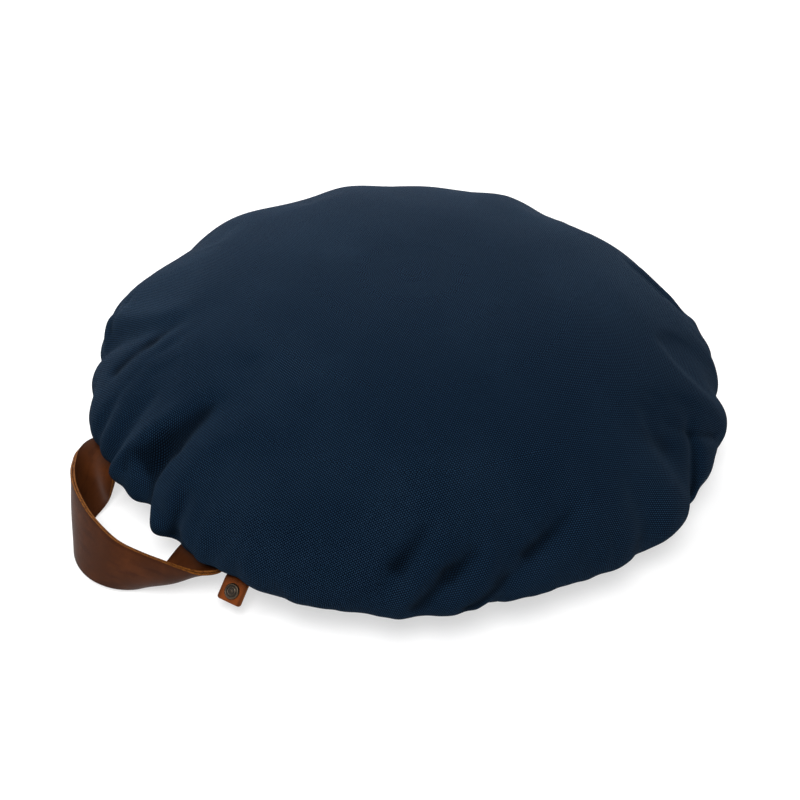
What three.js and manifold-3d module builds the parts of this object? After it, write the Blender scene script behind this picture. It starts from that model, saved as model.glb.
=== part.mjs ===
// Round floor cushion with a leather carrying handle and a small tab with a snap cap.
// Millimetres, +Z up. The origin is the middle of the flat underside, the handle is toward -Y.

import * as THREE from 'three';
import { mergeVertices } from 'three/addons/utils/BufferGeometryUtils.js';
import Module from 'manifold-3d';

const wasm = await Module();
wasm.setup();

// Cushion sizes
const RADIUS = 281;
const HEIGHT = 160;
const RIM_HEIGHT = 48;
const SEAM_HEIGHT = 28;
const SEAM_INSET = 11;
const SEAM_PINCH = 5;
const SEAM_PINCH_WIDTH = 6;
const FOOT_RADIUS = 222;
const RIM_ROUNDNESS = 2.5;
const CROWN_ROUNDNESS = 1.3;
const ROUNDING = 10;

// Small gathers where the panels are eased into the seam
const GATHER_DEPTH = 1.5;
const GATHER_REACH = 30;
const GATHER_RIPPLES = [
  { count: 31, share: 0.6, shift: 40 },
  { count: 43, share: 0.4, shift: 115 },
  { count: 17, share: 0.5, shift: 200 },
];

// Mesh of the cushion: points round the rim, set closer together where the main folds are
const RIM_POINTS = 184;
const CLOSER_AT = 300;
const CLOSER_BY = 0.3;

// Handle sizes: two plies back to back, with their ends sewn flat into the seam
const HANDLE_WIDTH = 45;
const HANDLE_PLY = 1.8;
const HANDLE_STEPS = 52;
const HANDLE_STRIPS = 5;

// Tab and snap cap sizes
const TAB_WIDTH = 21;
const TAB_THICKNESS = 2.4;
const TAB_SHOWN = 20;
const TAB_SEWN_IN = 14;
const TAB_BEND_RADIUS = 6;
const TAB_DROOP = 42;
const TAB_CORNER_RADIUS = 2.5;
const TAB_ANGLE = 294.4;
const CAP_DIAMETER = 12.4;
const CAP_FROM_TIP = 9;
const CAP_HEIGHT = 2.2;
const CAP_POST_RADIUS = 2;
const CAP_BACK_RADIUS = 4.5;
const CAP_BACK_THICKNESS = 1.2;
const CAP_SIDES = 36;
const HOLE_SIDES = 24;

// Distance kept between pieces that touch
const GAP = 0.3;

// Swells and hollows of the stuffing. deg: place round the rim; up: place along the surface above
// the seam; round, tall: reach along and across the rim; rise: outward, negative where drawn in.
const SWELLS = [
  { name: 'back left shoulder', deg: 160, up: 112, round: 34, tall: 60, rise: 6 },
  { name: 'back middle', deg: 140, up: 112, round: 40, tall: 60, rise: 2 },
  { name: 'back right shoulder', deg: 119, up: 108, round: 30, tall: 60, rise: 6 },
  { name: 'far left shoulder', deg: 189, up: 96, round: 40, tall: 55, rise: 6 },
  { name: 'left shoulder', deg: 219, up: 55, round: 30, tall: 45, rise: 6 },
  { name: 'left rim', deg: 228, up: 34, round: 20, tall: 40, rise: 4 },
  { name: 'left rim swell', deg: 249, up: 26, round: 20, tall: 34, rise: 2 },
  { name: 'drawn in at the left handle end', deg: 261, up: 16, round: 14, tall: 30, rise: -5 },
  { name: 'drawn in at the handle', deg: 276, up: 12, round: 60, tall: 46, rise: -5 },
  { name: 'lobe left of the deep crease', deg: 266, up: 18, round: 11, tall: 22, rise: -2 },
  { name: 'lobe right of the deep crease', deg: 278, up: 16, round: 9, tall: 22, rise: 6 },
  { name: 'drawn in at the tab', deg: 296, up: 10, round: 16, tall: 26, rise: -4 },
  { name: 'front hollow', deg: 320, up: 16, round: 40, tall: 44, rise: -2 },
  { name: 'front right flat', deg: 345, up: 16, round: 48, tall: 44, rise: -7 },
  { name: 'tucked under at the front', deg: 322, up: -25, round: 200, tall: 20, rise: -19 },
  { name: 'right front swell', deg: 14, up: 26, round: 24, tall: 34, rise: 5 },
  { name: 'right rim swell', deg: 40, up: 28, round: 30, tall: 36, rise: 5 },
  { name: 'right back rim', deg: 60, up: 46, round: 34, tall: 46, rise: 3 },
  { name: 'right back shoulder', deg: 90, up: 90, round: 40, tall: 50, rise: 3 },
];

// Folds of the cloth. from, to: [place round the rim, place above the seam] at the two ends;
// wide: half width of the trough; deep: depth at the lower end, negative for a raised ridge.
const FOLDS = [
  { name: 'deep crease by the handle, upper', from: [274, 132], to: [270, 74], wide: 15, deep: 7 },
  { name: 'deep crease by the handle, lower', from: [270, 78], to: [273.5, 14], wide: 10, deep: 10 },
  { name: 'ridge left of the deep crease', from: [267, 100], to: [264, 30], wide: 10, deep: -6 },
  { name: 'ridge right of the deep crease', from: [280, 110], to: [279, 52], wide: 12, deep: -3 },
  { name: 'trough left of the ridge', from: [259, 92], to: [261, 30], wide: 9, deep: 7 },
  { name: 'long trough at the left', from: [243, 142], to: [232, 40], wide: 12, deep: 6 },
  { name: 'ridge above the long trough', from: [236, 120], to: [226, 48], wide: 12, deep: -4 },
  { name: 'groove along the left rim', from: [217, 52], to: [231, 24], wide: 7, deep: 4 },
  { name: 'short crease by the handle', from: [282, 60], to: [282, 18], wide: 7, deep: 6 },
  { name: 'pinch right of the short crease', from: [278, 38], to: [286, 16], wide: 6, deep: 4 },
  { name: 'pinch at the handle end', from: [254, 44], to: [255, 8], wide: 7, deep: 4 },
  { name: 'pinch right of the handle', from: [291, 34], to: [290, 6], wide: 7, deep: 3 },
  { name: 'pinch past the tab', from: [302, 36], to: [303, 8], wide: 9, deep: 1 },
  { name: 'soft front trough', from: [327, 88], to: [320, 42], wide: 11, deep: 4 },
  { name: 'front fold, upper', from: [336, 72], to: [329, 38], wide: 9, deep: 6 },
  { name: 'front fold, lower', from: [329, 40], to: [326, 20], wide: 8, deep: 1.5 },
  { name: 'ridge beside the front fold', from: [330, 76], to: [323, 34], wide: 9, deep: -3 },
  { name: 'front notch', from: [342, 50], to: [337, 12], wide: 8, deep: 8 },
  { name: 'front right fold', from: [353, 82], to: [344, 50], wide: 10, deep: 5 },
  { name: 'front right pinch', from: [354, 40], to: [356, 6], wide: 9, deep: 3 },
  { name: 'soft fold at the right front', from: [8, 54], to: [5, 12], wide: 12, deep: 4 },
  { name: 'soft hollow at the right', from: [17, 104], to: [22, 52], wide: 24, deep: 3 },
  { name: 'overlapping fold at the right', from: [31, 66], to: [19, 16], wide: 7, deep: 7 },
  { name: 'thin crease at the right', from: [25, 86], to: [37, 24], wide: 6, deep: 4 },
  { name: 'right pinch', from: [47, 44], to: [50, 6], wide: 9, deep: 4 },
  { name: 'slit at the right back', from: [80, 98], to: [68, 62], wide: 8, deep: 7 },
  { name: 'ridge over the slit', from: [80, 84], to: [66, 50], wide: 9, deep: -3 },
  { name: 'back pinch, right', from: [96, 60], to: [98, 6], wide: 12, deep: 5 },
  { name: 'back pinch, right middle', from: [117, 74], to: [112, 6], wide: 12, deep: 6 },
  { name: 'back pinch, middle', from: [137, 52], to: [139, 6], wide: 14, deep: 4 },
  { name: 'back pinch, left middle', from: [158, 70], to: [154, 6], wide: 13, deep: 6 },
  { name: 'back pinch, left', from: [172, 84], to: [176, 6], wide: 12, deep: 6 },
  { name: 'left back pinch', from: [197, 82], to: [200, 6], wide: 11, deep: 5 },
  { name: 'underside fold by the handle', from: [268, -40], to: [271, 0], wide: 10, deep: 6 },
  { name: 'underside fold at the front', from: [336, -36], to: [333, 0], wide: 10, deep: 4 },
  { name: 'underside fold at the right', from: [18, -34], to: [20, 0], wide: 10, deep: 4 },
  { name: 'underside fold at the back', from: [114, -38], to: [112, 0], wide: 12, deep: 4 },
  { name: 'underside fold at the left', from: [203, -36], to: [200, 0], wide: 12, deep: 4 },
];

// Where the rings of points lie, above and below the seam, and how many times each is halved
const RINGS_ABOVE = [
  { up: 4, halved: 0 }, { up: 9, halved: 0 }, { up: 15, halved: 0 }, { up: 22, halved: 0 },
  { up: 30, halved: 0 }, { up: 38, halved: 0 }, { up: 47, halved: 0 }, { up: 57, halved: 0 },
  { up: 68, halved: 0 }, { up: 80, halved: 0 }, { up: 93, halved: 0 }, { up: 107, halved: 0 },
  { up: 122, halved: 0 }, { up: 140, halved: 1 }, { up: 160, halved: 1 }, { up: 184, halved: 1 },
  { up: 212, halved: 1 }, { up: 244, halved: 2 }, { up: 276, halved: 2 }, { up: 308, halved: 3 },
];
const RINGS_BELOW = [5, 12, 20, 30, 41, 52];
const FOOT_RINGS = [
  { radius: FOOT_RADIUS, halved: 0 }, { radius: 196, halved: 1 },
  { radius: 150, halved: 2 }, { radius: 80, halved: 3 },
];

// Sections across the handle, from its left sewn-in end to its right one. upper, lower: points on
// the rulings through the strap's two edges; bow: how far its middle bulges outward there. The
// strap lies flat where it leaves the seam, and twists until it stands on the lower edge.
const HANDLE_SECTIONS = [
  { upper: [-90.5, -232, 29.5], lower: [-46.5, -243, 29.5], bow: 0 },
  { upper: [-94.5, -248, 29.5], lower: [-49.5, -253.5, 29.5], bow: 0 },
  { upper: [-98, -266, 30.5], lower: [-52, -264, 27], bow: 1 },
  { upper: [-88, -280.5, 32.5], lower: [-50, -271, 17], bow: 2 },
  { upper: [-73, -290.5, 35.5], lower: [-45.5, -280, 7.5], bow: 2.5 },
  { upper: [-58, -298.5, 40], lower: [-40, -293, 4], bow: 3 },
  { upper: [-41, -305, 43], lower: [-29, -311, 3.6], bow: 3 },
  { upper: [-20, -308.5, 44.5], lower: [-13, -322.5, 3.6], bow: 2 },
  { upper: [3, -309, 45], lower: [6, -328, 3.6], bow: 1 },
  { upper: [32, -305, 44.5], lower: [25, -326, 3.6], bow: 1 },
  { upper: [53, -295.5, 42.5], lower: [41, -316, 3.8], bow: 2 },
  { upper: [71, -284, 39], lower: [52, -299, 4.4], bow: 4 },
  { upper: [83, -272, 34.5], lower: [52.5, -286, 5.5], bow: 6 },
  { upper: [91, -262.5, 31.5], lower: [49, -275, 12.5], bow: 5 },
  { upper: [96, -250, 30], lower: [50.5, -262, 26], bow: 2 },
  { upper: [92, -236, 29.5], lower: [47.5, -247, 29], bow: 0 },
  { upper: [89, -225, 29.5], lower: [45, -236, 29.5], bow: 0 },
];

const radians = THREE.MathUtils.degToRad;

// Half section of the lower panel, from the edge of the flat underside to the seam
function lowerOutline() {
  const steps = 60;
  return Array.from({ length: steps }, (_, i) => {
    const angle = (Math.PI / 2) * (1 - i / steps);
    const r = FOOT_RADIUS + (RADIUS - SEAM_INSET - FOOT_RADIUS) * Math.cos(angle);
    return new THREE.Vector2(r, SEAM_HEIGHT * (1 - Math.sin(angle)));
  });
}

// Half section of the upper panel, from the seam round the rim and up to the crown
function upperOutline() {
  const curlSteps = 12;
  const curl = Array.from({ length: curlSteps }, (_, i) => {
    const t = 1 - i / curlSteps;
    const z = THREE.MathUtils.lerp(RIM_HEIGHT, SEAM_HEIGHT, t);
    return new THREE.Vector2(RADIUS - SEAM_INSET * t * t, z);
  });
  const domeSteps = 240;
  const dome = Array.from({ length: domeSteps + 1 }, (_, i) => {
    const angle = (Math.PI / 2) * (i / domeSteps);
    const r = RADIUS * Math.max(Math.cos(angle), 0) ** (2 / RIM_ROUNDNESS);
    const rise = (HEIGHT - RIM_HEIGHT) * Math.sin(angle) ** (2 / CROWN_ROUNDNESS);
    return new THREE.Vector2(r, RIM_HEIGHT + rise);
  });
  return [...curl, ...dome];
}

// The plain, unfolded profile, read at a distance above the seam, or below it where negative
class Profile {
  constructor(lower, upper) {
    this.points = [...lower, ...upper];
    this.lengths = [0];
    for (let i = 1; i < this.points.length; i += 1) {
      const step = this.points[i].distanceTo(this.points[i - 1]);
      this.lengths.push(this.lengths[i - 1] + step);
    }
    this.below = this.lengths[lower.length];
    this.total = this.lengths[this.lengths.length - 1];
  }

  sharp(up) {
    const wanted = THREE.MathUtils.clamp(this.below + up, 0, this.total);
    const next = Math.max(this.lengths.findIndex((length) => length >= wanted), 1);
    const span = this.lengths[next] - this.lengths[next - 1];
    const share = (wanted - this.lengths[next - 1]) / span;
    return this.points[next - 1].clone().lerp(this.points[next], share);
  }

  // The same with its corners rounded by the stuffing
  at(up) {
    const samples = [-3, -2, -1, 0, 1, 2, 3].map((k) => this.sharp(up + (k * ROUNDING) / 3));
    return samples.reduce((sum, point) => sum.add(point)).divideScalar(samples.length);
  }

  outward(up) {
    const probe = 1.5;
    const along = this.at(up + probe).sub(this.at(up - probe));
    return new THREE.Vector2(along.y, -along.x).normalize();
  }
}

const PROFILE = new Profile(lowerOutline(), upperOutline());

// Signed difference of two places round the rim, in degrees
function turnBetween(a, b) {
  return THREE.MathUtils.euclideanModulo(a - b + 180, 360) - 180;
}

function bell(x) {
  return Math.exp(-x * x);
}

function swellRise(deg, up, r) {
  let rise = 0;
  for (const swell of SWELLS) {
    const across = radians(turnBetween(deg, swell.deg)) * r;
    rise += swell.rise * bell(across / swell.round) * bell((up - swell.up) / swell.tall);
  }
  return rise;
}

// Depth of one fold at a point: full at its lower end and less toward its upper end
function foldDepth(fold, deg, up, r) {
  const endX = radians(turnBetween(fold.to[0], fold.from[0])) * r;
  const endY = fold.to[1] - fold.from[1];
  const x = radians(turnBetween(deg, fold.from[0])) * r;
  const y = up - fold.from[1];
  const along = THREE.MathUtils.clamp((x * endX + y * endY) / (endX * endX + endY * endY), 0, 1);
  const away = Math.hypot(x - endX * along, y - endY * along);
  const upperShare = 0.45;
  return fold.deep * (upperShare + (1 - upperShare) * along) * bell(away / fold.wide);
}

function gatherDepth(deg, up) {
  let wave = 0;
  for (const ripple of GATHER_RIPPLES) {
    wave += ripple.share * Math.sin(radians(ripple.count * deg + ripple.shift));
  }
  return GATHER_DEPTH * wave * bell(up / GATHER_REACH);
}

// How far the surface stands out of the plain profile
function relief(deg, up, r) {
  let out = swellRise(deg, up, r) - gatherDepth(deg, up);
  out -= SEAM_PINCH * bell(up / SEAM_PINCH_WIDTH);
  for (const fold of FOLDS) {
    out -= foldDepth(fold, deg, up, r);
  }
  return out;
}

// Places of the points round the rim, closer together where the main folds are
function rimDegrees(count) {
  const spread = THREE.MathUtils.radToDeg(CLOSER_BY);
  return Array.from({ length: count }, (_, i) => {
    const even = (360 * i) / count;
    return even - spread * Math.sin(radians(even - CLOSER_AT));
  });
}

// Point of the finished surface; the relief fades out toward the flat underside
function surfacePoint(deg, up) {
  const plain = PROFILE.at(up);
  const outward = PROFILE.outward(up);
  const fade = Math.cos((Math.PI / 2) * THREE.MathUtils.clamp(-up / PROFILE.below, 0, 1));
  const out = relief(deg, up, plain.x) * fade;
  const r = plain.x + outward.x * out;
  const z = Math.max(plain.y + outward.y * out, 0);
  return new THREE.Vector3(r * Math.cos(radians(deg)), r * Math.sin(radians(deg)), z);
}

function flatPoint(deg, radius) {
  return new THREE.Vector3(radius * Math.cos(radians(deg)), radius * Math.sin(radians(deg)), 0);
}

// All rings of the cushion, from the middle of the underside to the crown
function cushionRings() {
  const rings = [];
  for (const { radius, halved } of [...FOOT_RINGS].reverse()) {
    rings.push(rimDegrees(RIM_POINTS / 2 ** halved).map((deg) => flatPoint(deg, radius)));
  }
  for (const down of [...RINGS_BELOW].reverse()) {
    rings.push(rimDegrees(RIM_POINTS).map((deg) => surfacePoint(deg, -down)));
  }
  for (const { up, halved } of [{ up: 0, halved: 0 }, ...RINGS_ABOVE]) {
    rings.push(rimDegrees(RIM_POINTS / 2 ** halved).map((deg) => surfacePoint(deg, up)));
  }
  return rings;
}

// Triangles between two rings with the same number of points, or twice as many in one of them
function joinRings(lower, upper, faces) {
  const many = Math.max(lower.count, upper.count);
  const lowerStep = lower.count / many;
  const upperStep = upper.count / many;
  for (let i = 0; i < many; i += 1) {
    const low = lower.first + Math.floor(i * lowerStep);
    const lowNext = lower.first + (Math.floor((i + 1) * lowerStep) % lower.count);
    const high = upper.first + Math.floor(i * upperStep);
    const highNext = upper.first + (Math.floor((i + 1) * upperStep) % upper.count);
    if (low !== lowNext) {
      faces.push(low, lowNext, high);
    }
    if (high !== highNext) {
      faces.push(lowNext, highNext, high);
    }
  }
}

function cushionGeometry() {
  const positions = [];
  const faces = [];
  const placed = [];
  const addPoint = (point) => {
    positions.push(point.x, point.y, point.z);
    return positions.length / 3 - 1;
  };
  const middle = addPoint(new THREE.Vector3(0, 0, 0));
  for (const ring of cushionRings()) {
    placed.push({ first: positions.length / 3, count: ring.length });
    ring.forEach(addPoint);
  }
  const crown = addPoint(new THREE.Vector3(0, 0, HEIGHT));
  const inner = placed[0];
  const last = placed[placed.length - 1];
  for (let i = 0; i < inner.count; i += 1) {
    faces.push(middle, inner.first + ((i + 1) % inner.count), inner.first + i);
  }
  for (let i = 1; i < placed.length; i += 1) {
    joinRings(placed[i - 1], placed[i], faces);
  }
  for (let i = 0; i < last.count; i += 1) {
    faces.push(last.first + i, last.first + ((i + 1) % last.count), crown);
  }
  const geometry = new THREE.BufferGeometry();
  geometry.setAttribute('position', new THREE.Float32BufferAttribute(positions, 3));
  geometry.setIndex(faces);
  return geometry;
}

// A strip of leather along a centre line. Its width lies along widthAt(t), and the leather fills
// the thickness from `inner` to `outer`, measured from the middle surface.
class Strip {
  constructor({ centreAt, widthAt, halfWidthAt, bowAt, steps, strips }) {
    this.centreAt = centreAt;
    this.widthAt = widthAt;
    this.halfWidthAt = halfWidthAt;
    this.bowAt = bowAt;
    this.steps = steps;
    this.strips = strips;
  }

  // Direction from one point of the strip's run to the next
  heading(pointAt, t) {
    const probe = 0.002;
    const before = Math.max(t - probe, 0);
    const after = Math.min(t + probe, 1);
    return pointAt(after).sub(pointAt(before)).normalize();
  }

  middlePoint(t, side) {
    const width = this.widthAt(t);
    const facing = this.heading(this.centreAt, t).cross(width).normalize();
    const fromEdge = 1 - (side / this.halfWidthAt(t)) ** 2;
    return this.centreAt(t).addScaledVector(width, side).addScaledVector(facing, this.bowAt(t) * fromEdge);
  }

  along(t, side) {
    return this.heading((place) => this.middlePoint(place, side), t);
  }

  faceNormal(t, side) {
    const across = this.middlePoint(t, side + 1).sub(this.middlePoint(t, side - 1));
    return this.along(t, side).cross(across).normalize();
  }

  // margin widens the strip and lengthens it at both ends
  geometry(inner, outer, margin) {
    const positions = [];
    const faces = [];
    const perStep = 2 * (this.strips + 1);
    for (let i = 0; i <= this.steps; i += 1) {
      const t = i / this.steps;
      const half = this.halfWidthAt(t) + margin;
      const sides = Array.from({ length: this.strips + 1 }, (_, j) => half * ((2 * j) / this.strips - 1));
      const lengthen = i === 0 ? -margin : (i === this.steps ? margin : 0);
      const push = (side, offset) => {
        const point = this.middlePoint(t, side).addScaledVector(this.faceNormal(t, side), offset);
        point.addScaledVector(this.along(t, side), lengthen);
        positions.push(point.x, point.y, point.z);
      };
      sides.forEach((side) => push(side, outer));
      [...sides].reverse().forEach((side) => push(side, inner));
    }
    for (let i = 0; i < this.steps; i += 1) {
      for (let j = 0; j < perStep; j += 1) {
        const a = i * perStep + j;
        const b = i * perStep + ((j + 1) % perStep);
        // Both faces of the strip are split along the same diagonals, so that plies lie parallel
        if (j <= this.strips) {
          faces.push(a, b + perStep, b, a, a + perStep, b + perStep);
        } else {
          faces.push(a, a + perStep, b, b, a + perStep, b + perStep);
        }
      }
    }
    const lastRow = this.steps * perStep;
    for (let j = 0; j < this.strips; j += 1) {
      const near = [j, j + 1, perStep - 2 - j, perStep - 1 - j];
      const far = near.map((index) => index + lastRow);
      faces.push(near[0], near[2], near[3], near[0], near[1], near[2]);
      faces.push(far[0], far[3], far[2], far[0], far[2], far[1]);
    }
    const geometry = new THREE.BufferGeometry();
    geometry.setAttribute('position', new THREE.Float32BufferAttribute(positions, 3));
    geometry.setIndex(faces);
    return geometry;
  }
}

function handleStrip() {
  const lineThrough = (column) => {
    const points = HANDLE_SECTIONS.map((section) => new THREE.Vector3(...section[column]));
    return new THREE.CatmullRomCurve3(points, false, 'catmullrom');
  };
  const upperLine = lineThrough('upper');
  const lowerLine = lineThrough('lower');
  const centreAt = (t) => upperLine.getPoint(t).add(lowerLine.getPoint(t)).multiplyScalar(0.5);
  const widthAt = (t) => upperLine.getPoint(t).sub(lowerLine.getPoint(t)).normalize();
  const bows = HANDLE_SECTIONS.map((section) => new THREE.Vector3(section.bow, 0, 0));
  const bowLine = new THREE.CatmullRomCurve3(bows, false, 'catmullrom');
  return new Strip({
    centreAt,
    widthAt,
    halfWidthAt: () => HANDLE_WIDTH / 2,
    bowAt: (t) => bowLine.getPoint(t).x,
    steps: HANDLE_STEPS,
    strips: HANDLE_STRIPS,
  });
}

// Frame of the tab: outward from the cushion's middle, and along the seam
function tabFrame() {
  const angle = radians(TAB_ANGLE);
  return {
    outward: new THREE.Vector3(Math.cos(angle), Math.sin(angle), 0),
    along: new THREE.Vector3(-Math.sin(angle), Math.cos(angle), 0),
  };
}

// Point of the tab's centre line at a distance from its sewn-in end
function tabCentre(distance) {
  const { outward } = tabFrame();
  const seamRadius = RADIUS - SEAM_INSET - SEAM_PINCH;
  const bendLength = TAB_BEND_RADIUS * radians(TAB_DROOP);
  const bent = THREE.MathUtils.clamp(distance - TAB_SEWN_IN, 0, bendLength);
  const straight = Math.max(distance - TAB_SEWN_IN - bendLength, 0);
  const turned = bent / TAB_BEND_RADIUS;
  const droop = radians(TAB_DROOP);
  const flat = Math.min(distance, TAB_SEWN_IN) - TAB_SEWN_IN;
  const out = flat + TAB_BEND_RADIUS * Math.sin(turned) + straight * Math.cos(droop);
  const down = TAB_BEND_RADIUS * (1 - Math.cos(turned)) + straight * Math.sin(droop);
  return outward.multiplyScalar(seamRadius + out).setZ(SEAM_HEIGHT + 1 - down);
}

const TAB_LENGTH = TAB_SEWN_IN + TAB_SHOWN;

function tabStrip() {
  const { along } = tabFrame();
  const halfWidthAt = (t) => {
    const fromTip = TAB_LENGTH * (1 - t);
    const missing = Math.max(TAB_CORNER_RADIUS - fromTip, 0) / TAB_CORNER_RADIUS;
    return TAB_WIDTH / 2 - TAB_CORNER_RADIUS * (1 - Math.sqrt(1 - missing * missing));
  };
  return new Strip({
    centreAt: (t) => tabCentre(t * TAB_LENGTH),
    widthAt: () => along.clone(),
    halfWidthAt,
    bowAt: () => 0,
    steps: TAB_LENGTH,
    strips: 2,
  });
}

// Place and facing of the snap cap, on the flat stretch of the tab
function capPlacement() {
  const { along } = tabFrame();
  const centre = tabCentre(TAB_LENGTH - CAP_FROM_TIP);
  const downSlope = tabCentre(TAB_LENGTH).sub(tabCentre(TAB_LENGTH - CAP_FROM_TIP)).normalize();
  const facing = along.clone().cross(downSlope);
  facing.multiplyScalar(Math.sign(facing.z));
  return { centre, facing };
}

// Turned outline of the snap cap, its post through the tab and its flange on the back
function capOutline() {
  const face = TAB_THICKNESS / 2 + GAP;
  const radius = CAP_DIAMETER / 2;
  const top = face + CAP_HEIGHT;
  return [
    [0, -face - CAP_BACK_THICKNESS],
    [CAP_BACK_RADIUS, -face - CAP_BACK_THICKNESS],
    [CAP_BACK_RADIUS, -face],
    [CAP_POST_RADIUS, -face],
    [CAP_POST_RADIUS, face],
    [radius, face],
    [radius, face + 0.5],
    [radius * 0.93, top - 0.6],
    [radius * 0.8, top - 0.15],
    [radius * 0.72, top - 0.2],
    [radius * 0.66, top - 0.6],
    [radius * 0.56, top - 0.6],
    [radius * 0.48, top - 0.15],
    [radius * 0.25, top],
    [0, top],
  ].map(([x, y]) => new THREE.Vector2(x, y));
}

function turnedAlong(outline, sides, { centre, facing }) {
  const geometry = new THREE.LatheGeometry(outline, sides);
  const turn = new THREE.Quaternion().setFromUnitVectors(new THREE.Vector3(0, 1, 0), facing);
  geometry.applyQuaternion(turn);
  geometry.translate(centre.x, centre.y, centre.z);
  return geometry;
}

// A hole through the tab for the post of the cap
function postHole() {
  const radius = CAP_POST_RADIUS + GAP;
  const half = TAB_THICKNESS;
  const outline = [[0, -half], [radius, -half], [radius, half], [0, half]];
  return turnedAlong(outline.map(([x, y]) => new THREE.Vector2(x, y)), HOLE_SIDES, capPlacement());
}

// Geometry to a solid that can be joined and cut, and back
function toSolid(geometry) {
  const bare = geometry.clone();
  bare.deleteAttribute('normal');
  bare.deleteAttribute('uv');
  const merged = mergeVertices(bare, 1e-4);
  const vertProperties = new Float32Array(merged.attributes.position.array);
  const triVerts = new Uint32Array(merged.index.array);
  return new wasm.Manifold(new wasm.Mesh({ numProp: 3, vertProperties, triVerts }));
}

function toGeometry(solid) {
  const mesh = solid.getMesh();
  const geometry = new THREE.BufferGeometry();
  geometry.setAttribute('position', new THREE.BufferAttribute(mesh.vertProperties, 3));
  geometry.setIndex(new THREE.BufferAttribute(mesh.triVerts, 1));
  return geometry;
}

function cut(geometry, ...tools) {
  return toGeometry(tools.reduce((solid, tool) => solid.subtract(toSolid(tool)), toSolid(geometry)));
}

function piece(name, geometry, { color, roughness, metalness }) {
  const material = new THREE.MeshStandardMaterial({ color, roughness, metalness });
  const mesh = new THREE.Mesh(geometry, material);
  mesh.name = name;
  return mesh;
}

// Finishes
const NAVY_CLOTH = { color: 0x16283f, roughness: 0.92, metalness: 0 };
const BROWN_LEATHER = { color: 0x74401f, roughness: 0.55, metalness: 0 };
const DARK_BRONZE = { color: 0x4b4036, roughness: 0.4, metalness: 0.9 };

// The handle and the tab lie in slots of the seam, a little wider than the leather
function buildCushion() {
  const handle = handleStrip();
  const tab = tabStrip();
  const handleHalf = GAP / 2 + HANDLE_PLY + GAP;
  const tabHalf = TAB_THICKNESS / 2 + GAP;
  const handleSlots = handle.geometry(-handleHalf, handleHalf, GAP);
  const tabSlot = tab.geometry(-tabHalf, tabHalf, GAP);
  return piece('cushion', cut(cushionGeometry(), handleSlots, tabSlot), NAVY_CLOTH);
}

function buildHandle() {
  const strip = handleStrip();
  const near = GAP / 2;
  const far = near + HANDLE_PLY;
  return [
    piece('handle_outer_ply', strip.geometry(near, far, 0), BROWN_LEATHER),
    piece('handle_inner_ply', strip.geometry(-far, -near, 0), BROWN_LEATHER),
  ];
}

function buildTab() {
  const half = TAB_THICKNESS / 2;
  return [
    piece('tab', cut(tabStrip().geometry(-half, half, 0), postHole()), BROWN_LEATHER),
    piece('snap_cap', turnedAlong(capOutline(), CAP_SIDES, capPlacement()), DARK_BRONZE),
  ];
}

const floorCushion = new THREE.Group();
floorCushion.add(buildCushion(), ...buildHandle(), ...buildTab());

export default floorCushion;
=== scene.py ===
"""Looks of a round floor cushion with a leather carrying handle and a small snap tab.

Sizes in the tables are millimetres, as in the part's own source, and become metres when a mesh is
made. Places on the cover are given by degrees round the rim and by millimetres along the cloth
above the seam.
"""

import logging
import math
from collections.abc import Mapping, Sequence
from dataclasses import dataclass, field
from enum import Enum
from functools import cached_property

import bpy
import numpy as np
from mathutils import Matrix, Vector
from mathutils.bvhtree import BVHTree


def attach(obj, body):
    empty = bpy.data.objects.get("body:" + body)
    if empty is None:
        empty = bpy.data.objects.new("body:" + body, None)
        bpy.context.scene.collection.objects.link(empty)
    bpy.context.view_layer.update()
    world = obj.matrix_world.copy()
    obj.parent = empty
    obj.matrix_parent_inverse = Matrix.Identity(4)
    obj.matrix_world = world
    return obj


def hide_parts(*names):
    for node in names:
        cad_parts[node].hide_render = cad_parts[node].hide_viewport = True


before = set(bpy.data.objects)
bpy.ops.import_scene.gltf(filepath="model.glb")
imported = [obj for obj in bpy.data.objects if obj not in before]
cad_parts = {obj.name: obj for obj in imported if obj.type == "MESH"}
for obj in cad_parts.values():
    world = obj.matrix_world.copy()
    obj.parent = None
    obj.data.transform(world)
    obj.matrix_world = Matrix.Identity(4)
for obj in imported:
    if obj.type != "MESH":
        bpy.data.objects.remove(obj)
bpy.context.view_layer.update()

MM = 0.001
LOG = logging.getLogger("floor_cushion")
Colour = tuple[float, float, float]
Point = tuple[float, float, float]


# Shader expressions


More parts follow.
